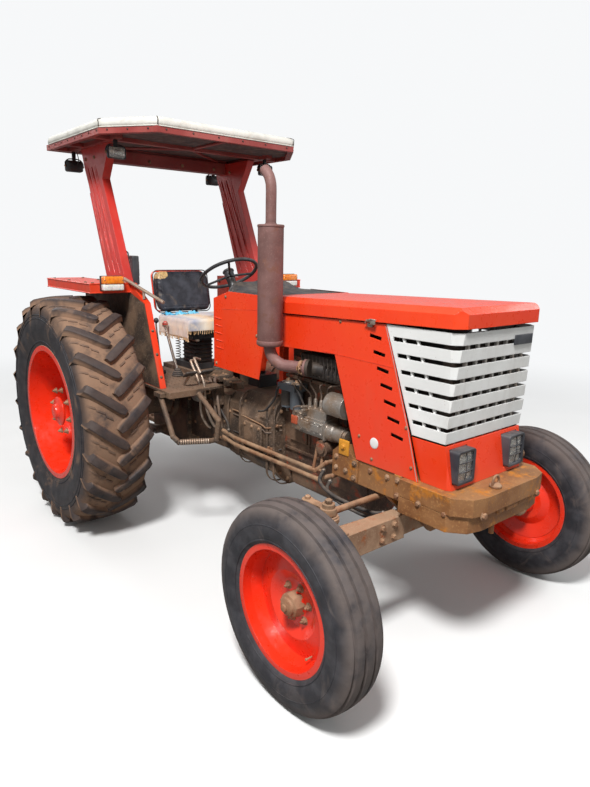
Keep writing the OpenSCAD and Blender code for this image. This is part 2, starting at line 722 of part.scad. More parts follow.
// How far the front has gone back, and the sides in, at a height z below the top of the grille
function grille_part(z) = (front_top[2] - z) / (front_top[2] - grille_low);
function grille_x(z) = front_top[1] + (front_waist[1] - front_top[1]) * grille_part(z);
function grille_side_x(z) = front_top[0] + (front_waist[0] - front_top[0]) * grille_part(z);
grille_post_d = 14;
grille_posts = [-216, -144, -72, 0, 72, 144, 216];
module grille() {
  back = grille_t - 1;
  foot = grille_low - nose_gap + seat_gap;
  color(white) placed() {
    difference() {
      front_form(front_waist, front_top, 0);
      front_form(front_waist, front_top, grille_t);
      for (i = [1 : grille_bars - 1]) {
        z = grille_low + i * grille_pitch - grille_gap;
        block([grille_side_x(z) + 16, -hood_half - 80, z], [hood_front + 10, hood_half + 80, z + grille_gap]);
      }
    }
    // Posts behind the front that hold the bars apart and stand on the nose
    for (y = grille_posts)
      across([[grille_x(foot) - back - grille_post_d, foot], [grille_x(foot) - back, foot], [grille_x(front_top[2]) - back, front_top[2]],
        [grille_x(front_top[2]) - back - grille_post_d, front_top[2]]], y - 6, y + 6);
    // Slanting strips inside both sides, which lean in as the sides do
    both_sides() intersection() {
      union() for (d = [70, 150])
        across([[grille_side_x(grille_low) + d, grille_low + 2], [grille_side_x(grille_low) + d + 12, grille_low + 2],
          [grille_side_x(front_top[2]) + d + 12, front_top[2] - 2], [grille_side_x(front_top[2]) + d, front_top[2] - 2]], -hood_half, 0);
      along([[-grille_half + back + front_taper, grille_low], [-grille_half + back, front_top[2]],
        [-grille_half + back + 10, front_top[2]], [-grille_half + back + front_taper + 10, grille_low]], front_top[0], hood_front);
    }
  }
}

module headlamps() {
  color(black) placed() for (side = [right, left]) translate([0, side * lamp_y, lamp_low]) difference() {
    block([hood_front - 100, -lamp_w / 2, 0], [hood_front + 2, lamp_w / 2, lamp_h]);
    block([hood_front - 14, -lamp_w / 2 + 13, 15], [hood_front + 20, lamp_w / 2 - 13, lamp_h - 15]);
  }
}

/* Cowl and dash */
cowl_front = hood_rear - hood_gap;
cowl_top = hood_top - hood_drop(cowl_front);
module cowl() {
  outer = [[cowl_rear, cowl_low + 8], [cowl_rear, 1594], [1040, 1644], [cowl_front, cowl_top], [cowl_front, 1330], [1350, cowl_low]];
  color(body_red) placed() {
    difference() {
      across(outer, -cowl_half, cowl_half);
      across([[cowl_rear - 10, cowl_low - 40], [cowl_rear - 10, 1760], [cowl_front - 8, 1760], [cowl_front - 8, 1328], [1346, cowl_low - 40]],
        -cowl_half + sheet_t, cowl_half - sheet_t);
      // The engine shows through the open front below the tank
      block([1200, -cowl_half + 40, 1000], [1500, cowl_half - 40, 1400]);
    }
    // Cradle that carries the cowl on the bell housing
    block([1300, -cowl_half + 1, 1404], [1340, cowl_half - 1, 1424]);
    for (side = [right, left]) {
      block([1300, side * 120 - 20, 1040 + seat_gap], [1340, side * 120 + 20, 1410]);
    }
    // Hinge pins of the hood
    for (side = [right, left]) {
      y0 = side * 200;
      block([cowl_front - 8, y0 - 22, hinge_z - 40], [hinge_x + 9, y0 - 8, hinge_z - 14]);
      block([hinge_x - 9, y0 - 22, hinge_z - 40], [hinge_x + 9, y0 - 8, hinge_z + 9]);
      bar_y(hinge_x, hinge_z, hinge_r, y0 - 10, y0 + 12);
    }
  }
}

dash_half = 235;
dash_top = 1694;
// Pad over the cowl, with a hump across the rear that holds the instruments
module dash() {
  inset = cowl_half - sheet_t - seat_gap;
  color(black) placed() intersection() {
    across([[cowl_rear + 4, 1490], [cowl_rear + 4, 1594], [cowl_rear + 34, dash_top], [cowl_rear + 96, dash_top], [1130, 1658],
      [cowl_front - 9, cowl_top - 2], [cowl_front - 9, 1610], [1100, 1490]], -inset, inset);
    along([[-inset, 1480], [-inset, 1648], [-dash_half, dash_top], [dash_half, dash_top], [inset, 1648], [inset, 1480]], cowl_rear, cowl_front);
  }
}

/* Fenders */
fender_t = 5;
valance = 62;
fender_x0 = -540;
fender_x1 = 270;
// Front edge of the inner wall, from the top plate down to the platform
fender_edge = [[fender_x1, fender_z], [471, 1540], [640, 1040], [652, floor_z + seat_gap]];
flange_w = 36;
module fenders() {
  color(body_red) placed() both_sides() {
    // Inner wall
    across([[fender_x0, 1090], [fender_x0, fender_z], fender_edge[0], fender_edge[1], fender_edge[2], fender_edge[3], [-60, floor_z + seat_gap],
      [-300, 1090]], -fender_in - fender_t, -fender_in);
    // Flange turned in along its front edge
    across([fender_edge[0], fender_edge[1], fender_edge[2], fender_edge[3], fender_edge[3] - [fender_t, 0], fender_edge[2] - [fender_t, 1],
      fender_edge[1] - [fender_t, 3], fender_edge[0] - [2 * fender_t, 0]], -fender_in - fender_t, -fender_in + flange_w);
    // Top plate over the tyre, with a valance on its outer side and both ends
    difference() {
      block([fender_x0, -fender_out, fender_z - valance], [fender_x1, -fender_in, fender_z]);
      block([fender_x0 + fender_t, -fender_out + fender_t, fender_z - 200], [fender_x1 - fender_t, -fender_in - fender_t, fender_z - fender_t]);
    }
  }
}

/* Canopy */
post_foot = [30, fender_z];
post_head = [-320, 2500];
post_out = fender_in - seat_gap;
post_in = post_out - post_w;
post_y = (post_out + post_in) / 2;
rib_y = post_out + 10;
post_groove = 5;
module posts() {
  dx = (post_head[0] - post_foot[0]) / (post_head[1] - post_foot[1]);
  top = canopy_z - seat_gap;
  head_x = post_foot[0] + dx * (top - post_foot[1]);
  front = head_x + post_head_d / 2;
  foot_z = floor_z + seat_gap;
  color(frame_red) placed() both_sides() difference() {
    across([[post_foot[0] - post_d / 2, foot_z], [post_foot[0] - post_d / 2, post_foot[1]], [head_x - post_head_d / 2, top],
      [front + 237, top], [front + 214, top - 44], [front + 98, 2352], [post_foot[0] + post_d / 2, post_foot[1]], [post_foot[0] + post_d / 2, foot_z]],
      -post_out, -post_in);
    // Pressed grooves along the slanting part, on both broad faces
    for (share = [-0.34, -0.06, 0.22]) for (y = [-post_out - 10, -post_in - post_groove])
      across([[post_foot[0] + share * post_d - 9, post_foot[1] + 60], [head_x + share * post_head_d - 9, 2440],
        [head_x + share * post_head_d + 9, 2440], [post_foot[0] + share * post_d + 9, post_foot[1] + 60]], y, y + 10 + post_groove);
  }
}

rim_t = 30;
module canopy_outline(inset) {
  h = canopy_half - inset;
  f = canopy_front - inset;
  r = canopy_rear + inset;
  polygon([[f, -h + canopy_cut_y], [f, h - canopy_cut_y], [f - canopy_cut, h], [r, h], [r, -h], [f - canopy_cut, -h]]);
}

beam_x = -380;
module canopy_frame() {
  color(frame_red) placed() {
    translate([0, 0, canopy_z]) linear_extrude(rim_h) difference() {
      canopy_outline(0);
      canopy_outline(rim_t);
    }
    // Two long ribs over the posts, two cross ribs and the lining sheet
    for (side = [right, left]) block([canopy_rear + 10, side * rib_y - 25, canopy_z], [200, side * rib_y + 25, canopy_z + rim_h]);
    for (x = [canopy_rear + 40, beam_x, 60]) block([x, -canopy_half + 10, canopy_z], [x + 50, canopy_half - 10, canopy_z + rim_h]);
    block([beam_x - 20, -post_in + seat_gap, 2490], [beam_x + 70, post_in - seat_gap, canopy_z + 2]);
    translate([0, 0, canopy_z + rim_h - 10]) linear_extrude(10) canopy_outline(5);
  }
}

module canopy_pad() {
  color(white) placed() {
    z = canopy_z + rim_h + seat_gap;
    translate([0, 0, z]) linear_extrude(pad_t) canopy_outline(-6);
    translate([0, 0, z + pad_t - 1]) linear_extrude(pad_rise / 2 + 1) canopy_outline(60);
    translate([0, 0, z + pad_t + pad_rise / 2 - 1]) linear_extrude(pad_rise / 2 + 1) canopy_outline(220);
  }
}

// Columns: x, y, z, half width, half height, depth, facing
lamp_rows = [[140, -rib_y, 2490, 62, 40, 44, 1], [140, rib_y, 2490, 62, 40, 44, 1],
  [-600, -rib_y, 2470, 62, 40, 60, -1], [-600, rib_y, 2470, 62, 40, 60, -1]];
module work_lamps() {
  color(black) placed() for (l = lamp_rows) translate([l[0], l[1], l[2]]) {
    block([-l[5] / 2, -l[3], -l[4]], [l[5] / 2, l[3], l[4]]);
    block([-8, -14, l[4] - 2], [8, 14, canopy_z - seat_gap - l[2]]);
  }
}

module indicators() {
  color("orange") placed() both_sides() block([fender_x1 + seat_gap, -fender_out + 66, fender_z - 48], [fender_x1 + 58, -fender_out + 216, fender_z + 49]);
}

// Tube from the fender's top forwards, with a leg on the slope of its wall
grab_tube = [[240, -fender_in - 29, fender_z + seat_gap], [240, -fender_in - 29, fender_z + 24], [640, -fender_in + 40, fender_z - 104]];
module grab_handles() {
  leg = (grab_tube[1] + grab_tube[2]) / 2;
  foot = fender_z - (leg[0] - 9 - fender_edge[0][0]) * (fender_z - fender_edge[1][1]) / (fender_edge[1][0] - fender_edge[0][0]) + seat_gap;
  color(steel) placed() both_sides() {
    tube_path(grab_tube, 11);
    translate([leg[0], leg[1], foot]) cylinder(r = 9, h = leg[2] - foot);
  }
}

/* Platform and steps */
step_z = 712;
module platform() {
  color(rust) placed() both_sides() {
    block([-123, -fender_in - 16, floor_z - 16], [floor_front, -210, floor_z]);
    for (x = [420, 700]) block([x, -box_half - 60, 860], [x + 50, -box_half - seat_gap, floor_z - 10]);
    // Step: one bent tube from a bracket beside the fender's foot to the front beam
    tube_path([[675, -fender_in - 24, floor_z - 28], [866, -fender_in - 40, step_z + 30], [902, -fender_in - 20, step_z], [990, -446, step_z],
      [1050, -432, step_z + 20], [1072, -430, step_z + 148], [floor_front - 22, -396, floor_z - 28]], 17);
    block([floor_front - 44, -fender_in - 16, floor_z - 40], [floor_front, -370, floor_z - 15]);
    block([630, -fender_in - 44, floor_z - 42], [722, -fender_in + 30, floor_z - 14]);
  }
}

/* Seat and controls */
seat_x = -40;
seat_l = 456;
back_z0 = cushion_z + cushion_t + 6;
back_z1 = 1732;
back_t = 84;
// Rear face of the backrest at a height z
function back_x(z) = seat_x - 76 - (z - back_z0) * 0.19;
module seat_frame() {
  pan = cushion_z - 42;
  color(black) placed() {
    block([seat_x, -120, 1012 + seat_gap], [seat_x + 300, 120, 1056]);
    block([seat_x + 60, -70, 1050], [seat_x + 240, 70, pan + 2]);
    block([seat_x, -200, pan], [seat_x + seat_l - 40, 200, cushion_z - seat_gap]);
    // Two flat bars carry the backrest
    for (side = [right, left])
      across([[seat_x + 10, pan], [seat_x - 80, pan + 12], [back_x(back_z0) - 22, back_z0], [back_x(back_z1 - 130) - 22, back_z1 - 130],
        [back_x(back_z1 - 130) - seat_gap, back_z1 - 130], [back_x(back_z0) - seat_gap, back_z0], [seat_x - 60, cushion_z - seat_gap],
        [seat_x + 10, cushion_z - seat_gap]], side * 120 - 20, side * 120 + 20);
  }
}

module seat_cushion() {
  color(black) placed() block([seat_x, -seat_w / 2, cushion_z], [seat_x + seat_l, seat_w / 2, cushion_z + cushion_t]);
}

module seat_backrest() {
  color(black) placed() across([[back_x(back_z0), back_z0], [back_x(back_z1), back_z1], [back_x(back_z1) + back_t, back_z1],
    [back_x(back_z0) + back_t, back_z0 + 6]], -seat_w / 2 + 6, seat_w / 2 - 6);
}

throw_z = cushion_z + cushion_t + seat_gap;
module seat_throw() {
  color([0.4, 0.5, 0.6]) placed() block([seat_x + 14, -seat_w / 2 - 14, throw_z], [seat_x + seat_l + 12, seat_w / 2 + 14, throw_z + 8]);
}

// Flat lever bars. Columns: foot x, foot height, side place, knob x, knob height, knob radius
levers = [[335, floor_z, -seat_w / 2 - 50, 165, 1345, 20], [330, 1012, 40, 470, 1300, 24]];
module controls() {
  color(black) placed() for (l = levers) {
    z0 = l[1] + seat_gap;
    across([[l[0] - 24, z0], [l[0] - 24, z0 + 10], [l[0] - 10, z0 + 14], [l[3] - 8, l[4]], [l[3] + 8, l[4]], [l[0] + 12, z0 + 14], [l[0] + 24, z0 + 10], [l[0] + 24, z0]],
      l[2] - 7, l[2] + 7);
    translate([l[3], l[2], l[4] - 6]) cylinder(r = l[5], h = l[5] * 1.5);
  }
}

/* Rear hitch */
lift_x = -190;
lift_z = 900;
lift_shaft_r = 30;
arm_y = link_y + 4;
lift_dir = [-cos(link_slope), 0, -sin(link_slope)];
rod_y = link_y + 28;

drawbar_x = canopy_rear - 56;
module drawbar() {
  color(rust) placed() difference() {
    union() {
      block([drawbar_x, -40, 400], [120, 40, 434]);
      translate([drawbar_x, 0, 400]) cylinder(r = 40, h = 34);
      block([-180, -70, 430], [-120, 70, 440]);
      block([40, -70, 430], [100, 70, 447]);
    }
    translate([drawbar_x, 0, 380]) cylinder(r = 16, h = 80);
  }
}

module lower_links() {
  color(rust) placed() both_sides() translate([link_x, -link_y, link_z]) rotate([0, -link_slope, 0]) difference() {
    union() {
      block([-link_l, -11, -34], [0, 11, 34]);
      for (x = [0, -link_l]) bar_y(x, 0, link_ball_r, -20, 20);
      bar_y(-lift_arm_l, 0, 10, -46, 0);
    }
    bar_y(0, 0, link_hole_r, -60, 60);
    bar_y(-link_l, 0, link_hole_r, -60, 60);
  }
}

module lift_arms() {
  color(rust) placed() {
    bar_y(lift_x, lift_z, lift_shaft_r, -arm_y - 12, arm_y + 12);
    both_sides() translate([lift_x, -arm_y, lift_z]) rotate([0, -link_slope, 0]) {
      across([[0, -40], [-lift_arm_l, -24], [-lift_arm_l, 24], [0, 40]], -12, 12);
      bar_y(0, 0, 46, -12, 12);
      bar_y(-lift_arm_l, 0, 24, -12, 12);
      bar_y(-lift_arm_l, 0, 10, -42, 0);
    }
  }
}

module lift_rods() {
  color(rust) placed() both_sides() {
    e = [lift_x, 0, lift_z] + lift_arm_l * lift_dir;
    b = [link_x, 0, link_z] + lift_arm_l * lift_dir;
    difference() {
      union() {
        rod([e[0], -rod_y, e[2]], [b[0], -rod_y, b[2]], 11);
        bar_y(e[0], e[2], 23, -rod_y - 9, -rod_y + 9);
        bar_y(b[0], b[2], 23, -rod_y - 9, -rod_y + 9);
      }
      bar_y(e[0], e[2], 10 + run, -rod_y - 30, -rod_y + 30);
      // The lower eye is the linkage's open pivot, so its hole is loose
      bar_y(b[0], b[2], 11, -rod_y - 30, -rod_y + 30);
    }
  }
}

/* Wheels */
// Section of a tyre: outer radius, width, bead radius, flange radius, rim width, half width of the crown
module tyre_profile(r, w, seat, flange, rim_w, crown) {
  h = r - flange;
  half = [[seat, rim_w / 2 - 15], [flange + 1, rim_w / 2 - 11], [flange + 4, rim_w / 2 + 4], [flange + h * 0.42, w / 2],
    [r - h * 0.28, w * 0.485], [r - h * 0.07, w * 0.41], [r, crown]];
  n = len(half);
  polygon(concat(half, [for (i = [0 : n - 1]) [half[n - 1 - i][0], -half[n - 1 - i][1]]]));
}

// One lug seen from above: its nose lies a little past the middle of the tread and leads its outer end
lug_sweep = 196;
lug_nose = 24;
lug_half = 24;
module lug_outline(half) {
  end = rear_tyre_w / 2 + 10;
  l = norm([lug_sweep, end + lug_nose]);
  n = [end + lug_nose, lug_sweep] * lug_half / l;
  a = [-lug_sweep / 2, end];
  b = [lug_sweep / 2, -lug_nose];
  points = [a - n, a + n, b + n, b + [lug_half * 0.62, -lug_half * 0.62], b - n];
  polygon([for (q = points) [q[0], q[1] * half]]);
}

// Space that the lugs fill between the carcass and their tips, as half of a section
module lug_space() {
  w = rear_tyre_w / 2;
  r = rear_tyre_r;
  half = [[r - lug_h - 60, w - 3], [r - lug_h - 28, w], [r - 18, w - 18], [r - 6, w - 66], [r, w - 130]];
  n = len(half);
  polygon(concat(half, [for (i = [0 : n - 1]) [half[n - 1 - i][0], -half[n - 1 - i][1]]]));
}

module rear_tyre(side) {
  pitch = 360 / lug_count;
  color(black) placed() translate([0, side * rear_track / 2, rear_tyre_r]) {
    rotate([-90, 0, 0]) rotate_extrude() tyre_profile(rear_tyre_r - lug_h, rear_tyre_w, rear_rim_r - 24, rear_rim_r, rear_rim_w, 150);
    intersection() {
      rotate([-90, 0, 0]) rotate_extrude() lug_space();
      union() {
        for (i = [0 : lug_count - 1]) for (half = [1, -1])
          rotate([0, (i + (half > 0 ? 0 : 0.5)) * pitch, 0]) translate([0, 0, rear_tyre_r - lug_h - 58])
            linear_extrude(lug_h + 70) lug_outline(half);
      }
    }
  }
}

// Grooves that part the three ribs of a front tyre. Columns: middle, half width, depth
front_grooves = [[26, 7, 13], [-26, 7, 13], [69, 4, 9], [-69, 4, 9]];
module front_tyre(side) {
  color(black) placed() translate([wheelbase, side * front_track / 2, front_tyre_r]) rotate([-90 * side, 0, 0]) difference() {
    rotate_extrude() tyre_profile(front_tyre_r, front_tyre_w, front_rim_r - 18, front_rim_r, front_rim_w, 62);
    for (g = front_grooves) translate([0, 0, g[0] - g[1]]) difference() {
      cylinder(r = front_tyre_r + 20, h = 2 * g[1]);
      translate([0, 0, -1]) cylinder(r = front_tyre_r - g[2] - (abs(g[0]) > 60 ? 6 : 0), h = 2 * g[1] + 2);
    }
  }
}

module rear_rim(side) {
  color(body_red) placed() translate([0, side * rear_track / 2, rear_tyre_r]) rotate([-90 * side, 0, 0]) difference() {
    rotate_extrude() {
      ro = rear_rim_r - 24 - seat_gap;
      w = rear_rim_w / 2;
      d = w - rear_dish;
      polygon([[ro, -w + 14], [rear_rim_r, -w + 10], [rear_rim_r, -w], [ro - 10, -w], [ro - 14, -w + 60], [ro - 64, -w + 100], [ro - 64, d - 40],
        [250, d - 20], [200, d - 60], [105, d - 60], [105, d - 130], [rear_shaft_r - 6, d - 130], [rear_shaft_r - 6, d + 20], [112, d + 20],
        [112, d - 46], [206, d - 46], [256, d - 6], [ro - 54, d - 26], [ro - 54, -w + 108], [ro - 30, -w + 100], [ro - 14, w - 60], [ro - 10, w],
        [rear_rim_r, w], [rear_rim_r, w - 10], [ro, w - 14]]);
    }
    translate([0, 0, -400]) cylinder(r = rear_shaft_r + run, h = 800);
  }
}

module front_rim(side) {
  color(body_red) placed() translate([wheelbase, side * front_track / 2, front_tyre_r]) rotate([-90 * side, 0, 0]) difference() {
    rotate_extrude() {
      ro = front_rim_r - 18 - seat_gap;
      w = front_rim_w / 2;
      d = w - front_dish;
      polygon([[ro, -w + 12], [front_rim_r, -w + 8], [front_rim_r, -w], [ro - 8, -w], [ro - 10, -w + 40], [ro - 34, -w + 60], [ro - 34, d - 14],
        [150, d + 10], [110, d - 16], [72, d - 16], [hub_r, d - 80], [spindle_r - 5, d - 80], [spindle_r - 5, d + 44], [40, d + 44], [50, d + 34],
        [54, d - 4], [106, d - 4], [148, d + 22], [ro - 24, d - 2], [ro - 24, -w + 68], [ro - 10, w - 44], [ro - 8, w], [front_rim_r, w],
        [front_rim_r, w - 8], [ro, w - 12]]);
    }
    translate([0, 0, -300]) cylinder(r = spindle_r + run, h = 600);
  }
}

transmission();
engine();
exhaust_manifold();
exhaust_stack();
injection_pump();
fuel_filters();
alternator();
fluid_pipes();
radiator();
front_frame();
front_weights();
front_axle();
side_panels();
nose();
grille();
headlamps();
cowl();
dash();
steering_column();
fenders();
posts();
canopy_frame();
canopy_pad();
work_lamps();
indicators();
grab_handles();
platform();
seat_frame();
seat_cushion();
seat_backrest();
seat_throw();
controls();
drawbar();
hood();
steering_wheel();
knuckle(right);  // knuckle_right
knuckle(left);  // knuckle_left
tie_rod();
rear_rim(right);  // rear_rim_right
rear_rim(left);  // rear_rim_left
rear_tyre(right);  // rear_tyre_right
rear_tyre(left);  // rear_tyre_left
front_rim(right);  // front_rim_right
front_rim(left);  // front_rim_left
front_tyre(right);  // front_tyre_right
front_tyre(left);  // front_tyre_left
lower_links();
lift_arms();
lift_rods();
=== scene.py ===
"""Dresses the packed solids of a vintage farm tractor: paint, rust, rubber, seat, roof and small fittings.

Shapes are worked out in millimetres with the rear axle at X = 0, X forward, Y to the left and Z up,
and put into the frame in metres when their mesh is made.
"""

import math

import bpy
import numpy as np
from bpy.props import FloatProperty, FloatVectorProperty, IntProperty, PointerProperty
from mathutils import Matrix, Vector


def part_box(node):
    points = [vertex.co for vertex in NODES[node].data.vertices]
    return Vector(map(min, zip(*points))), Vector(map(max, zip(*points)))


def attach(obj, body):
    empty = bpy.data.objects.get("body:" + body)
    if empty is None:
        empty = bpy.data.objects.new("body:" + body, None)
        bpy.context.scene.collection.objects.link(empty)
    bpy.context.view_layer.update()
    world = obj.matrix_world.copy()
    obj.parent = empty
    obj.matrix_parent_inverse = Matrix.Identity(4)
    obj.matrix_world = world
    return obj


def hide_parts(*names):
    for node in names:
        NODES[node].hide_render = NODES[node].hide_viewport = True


bl_info = {
    "name": "Vintage tractor dressing",
    "version": (1, 0, 0),
    "blender": (4, 5, 0),
    "location": "3D View > Sidebar > Tractor",
    "description": "Finishes, tyres, seat, roof and fittings of a vintage farm tractor",
    "category": "Object",
}

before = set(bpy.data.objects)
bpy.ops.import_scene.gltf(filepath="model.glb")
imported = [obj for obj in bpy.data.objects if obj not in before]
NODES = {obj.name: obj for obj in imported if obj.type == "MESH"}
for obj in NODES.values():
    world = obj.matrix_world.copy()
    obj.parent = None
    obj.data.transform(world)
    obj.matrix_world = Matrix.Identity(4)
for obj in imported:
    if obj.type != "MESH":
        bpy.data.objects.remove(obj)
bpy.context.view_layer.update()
REAR_TYRE = [np.array(p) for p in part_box("rear_tyre_right")]
FRONT_TYRE = [np.array(p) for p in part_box("front_tyre_right")]
AXLE_X = float(REAR_TYRE[0][0] + REAR_TYRE[1][0]) / 2
WHEELBASE = (float(FRONT_TYRE[0][0] + FRONT_TYRE[1][0]) / 2 - AXLE_X) * 1000
TRACK = -float(REAR_TYRE[0][1] + REAR_TYRE[1][1]) * 500
FRONT_TRACK = -float(FRONT_TYRE[0][1] + FRONT_TYRE[1][1]) * 500
REAR_R = float(REAR_TYRE[1][2]) * 500
FRONT_R = float(FRONT_TYRE[1][2]) * 500


# ---------- Sizes and colours a user may change ----------


class TyreSizes(bpy.types.PropertyGroup):
    """Sizes of the tread"""

    lugs: IntProperty(name="Lugs", description="Lugs on each half of a rear tyre", default=22, min=12, max=30)
    lug_height: FloatProperty(name="Lug height", description="Height of a rear lug, in mm", default=34.0, min=10,
        max=45)
    lug_width: FloatProperty(name="Lug width", description="Width of a rear lug's top, in mm", default=44.0, min=20,
        max=60)
    lug_sweep: FloatProperty(name="Lug sweep", description="How far a lug's nose leads its outer end, in mm",
        default=196.0, min=80, max=260)
    ribs_depth: FloatProperty(name="Groove depth", description="Depth of the front tyre's grooves, in mm",
        default=13.0, min=4, max=20)


class SeatSizes(bpy.types.PropertyGroup):
    """Sizes of the soft pieces"""

    swell: FloatProperty(name="Swell", description="How far the stuffing may push the cover out", default=0.024,
        min=0.0, max=0.03, unit="LENGTH")
    pressure: FloatProperty(name="Pressure", description="Pressure of the stuffing", default=4.0, min=0.0, max=10.0)
    hang: FloatProperty(name="Throw overhang", description="How far the throw hangs over the cushion's side, in mm",
        default=104.0, min=30, max=160)
    tassels: IntProperty(name="Tassels", description="Tassels along one side of the throw", default=44, min=10,
        max=80)


class Colours(bpy.types.PropertyGroup):
    """Main colours"""

    body: FloatVectorProperty(name="Body", description="Paint of the hood, cowl, nose and fenders",
        default=(0.86, 0.045, 0.008), size=3, min=0, max=1, subtype="COLOR")
    rims: FloatVectorProperty(name="Rims", description="Paint of the wheel rims", default=(0.80, 0.030, 0.008),
        size=3, min=0, max=1, subtype="COLOR")
    posts: FloatVectorProperty(name="Frame", description="Paint of the canopy's posts and rails",
        default=(0.46, 0.026, 0.018), size=3, min=0, max=1, subtype="COLOR")
    roof: FloatVectorProperty(name="Roof", description="Covering of the roof pad", default=(0.80, 0.78, 0.71),
        size=3, min=0, max=1, subtype="COLOR")


class Studio(bpy.types.PropertyGroup):
    """Light and view"""

    key: FloatProperty(name="Key light", description="Power of the main lamp", default=1000.0, min=0, unit="POWER")
    fill: FloatProperty(name="Fill light", description="Power of the side lamp", default=130.0, min=0, unit="POWER")
    sky: FloatProperty(name="Sky", description="Strength of the even light all round", default=0.34, min=0, max=3)
    lens: FloatProperty(name="Lens", description="Focal length of the view, in mm on a 36 mm frame", default=27.81,
        min=10, max=200)


SETTINGS = (("tractor_tyres", TyreSizes), ("tractor_seat", SeatSizes), ("tractor_colours", Colours),
    ("tractor_studio", Studio))


# ---------- Shapes ----------


class Form:
    """Collects stretches of surface, each with a finish and a shade, and makes them one mesh."""

    def __init__(self):
        self.points, self.faces, self.finish, self.shade = [], [], [], []
        self.count = 0

    def add(self, points, faces, finish=0, shade=0.0):
        """One stretch of surface, with the finish's number and a shade for each of its points."""
        points = np.asarray(points, float).reshape(-1, 3)
        self.points.append(points)
        self.shade.append(np.broadcast_to(np.asarray(shade, float), (len(points),)))
        for block in faces if isinstance(faces, list) else [faces]:
            block = np.asarray(block, int)
            self.faces.append(block + self.count)
            self.finish.append(np.full(len(block), finish))
        self.count += len(points)

    def block(self, finish, *sizes):
        """A block with rounded edges."""
        self.add(*soft_block(*sizes), finish)

    def beside(self, finish, side, low, high, *sizes):
        """A block given for the left side of the tractor, on the side asked for."""
        y0, y1 = sorted((side * low[1], side * high[1]))
        self.block(finish, (low[0], y0, low[2]), (high[0], y1, high[2]), *sizes)

    def tube(self, finish, *course):
        """A tube along a path."""
        self.add(*pipe(*course), finish)

    def lathe(self, finish, profile, count, *place):
        """A turned, closed shape put in its place."""
        points, faces = capped(profile, count)
        self.add(placed(points, *place), faces, finish)

    def mirrored(self):
        """Adds the same surface with Y turned round, its faces turned so that they still point outwards."""
        self.points += [p * (1, -1, 1) for p in self.points]
        self.faces += [f[:, ::-1] + self.count for f in self.faces]
        self.finish *= 2
        self.shade *= 2
        self.count *= 2
        return self

    def make(self, name, body, finishes, slot, smooth=40.0):
        """Writes the mesh in metres in the frame and lets it ride on its body; finishes are names with spaces."""
        points = np.concatenate(self.points) * 0.001 + (AXLE_X, 0, 0)
        mesh = bpy.data.meshes.new(name)
        faces = [row for block in self.faces for row in block.tolist()]
        mesh.from_pydata(points.tolist(), [], faces)
        mesh.polygons.foreach_set("material_index", np.concatenate(self.finish).astype(np.int32))
        mesh.polygons.foreach_set("use_smooth", np.ones(len(faces), bool))
        shade = np.concatenate(self.shade).astype(np.float32)
        mesh.attributes.new("shade", "FLOAT", "POINT").data.foreach_set("value", shade)
        for key in finishes.split():
            mesh.materials.append(FINISHES[key])
        mesh.validate()
        piece = bpy.data.objects.new(name, mesh)
        bpy.context.scene.collection.objects.link(piece)
        if smooth:
            mesh.set_sharp_from_angle(angle=math.radians(smooth))
        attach(piece, body)
        return piece


def circle(count):
    """Angles evenly spread over one turn."""
    return np.linspace(0, 2 * math.pi, count, endpoint=False)


def grid(rows, columns, around=False, along=False):
    """Faces of a grid of rows x columns points; around joins the last column to the first, along the last row."""
    r = np.arange(rows if along else rows - 1)[:, None]
    c = np.arange(columns if around else columns - 1)[None, :]
    r1, c1 = (r + 1) % rows, (c + 1) % columns
    return np.stack([r * columns + c, r * columns + c1, r1 * columns + c1, r1 * columns + c], -1).reshape(-1, 4)


def fan(start, count, centre, flip=False):
    """Triangles from a ring of points to one centre point."""
    a = start + np.arange(count)
    b = start + (np.arange(count) + 1) % count
    rows = np.stack([a, b, np.full(count, centre)], -1)
    return rows[:, ::-1] if flip else rows


def turned(profile, count, closed=False):
    """A profile of (radius, height) turned about Z: each point goes round in a circle of its radius at its height."""
    profile = np.asarray(profile, float)
    a = circle(count)
    points = np.stack(
        [profile[:, None, 0] * np.cos(a), profile[:, None, 0] * np.sin(a),
            np.broadcast_to(profile[:, None, 1], (len(profile), count))], -1
    )
    return points.reshape(-1, 3), grid(len(profile), count, around=True, along=closed)


def capped(profile, count):
    """A turned profile whose two ends are closed by a flat fan."""
    points, faces = turned(profile, count)
    profile = np.asarray(profile, float)
    ends = np.array([[0, 0, profile[0, 1]], [0, 0, profile[-1, 1]]])
    n = len(points)
    return np.concatenate([points, ends]), [faces, fan(0, count, n, True), fan(n - count, count, n + 1)]


def smoothed(points, steps):
    """A smooth curve through the given points: Catmull-Rom, a cubic between each two of them."""
    p = np.asarray(points, float)
    p = np.concatenate([[2 * p[0] - p[1]], p, [2 * p[-1] - p[-2]]])
    t = np.linspace(0, 1, steps, endpoint=False)[:, None]
    parts = [
        0.5 * (2 * b + (c - a) * t + (2 * a - 5 * b + 4 * c - d) * t**2 + (3 * b - a - 3 * c + d) * t**3)
        for a, b, c, d in zip(p[:-3], p[1:-2], p[2:-1], p[3:])
    ]
    return np.concatenate(parts + [p[-2:-1]])


def across_path(path):
    """Two directions square to a path at each of its points, carried along it without twist."""
    path = np.asarray(path, float)
    ahead = np.gradient(path, axis=0)
    ahead /= np.linalg.norm(ahead, axis=1, keepdims=True)
    start = np.cross(ahead[0], (0.13, 0.21, 1.0) if abs(ahead[0][2]) < 0.9 else (1.0, 0.1, 0.1))
    sides = [start / np.linalg.norm(start)]
    for a in ahead[1:]:
        side = sides[-1] - a * np.dot(sides[-1], a)
        sides.append(side / np.linalg.norm(side))
    sides = np.array(sides)
    return sides, np.cross(ahead, sides)


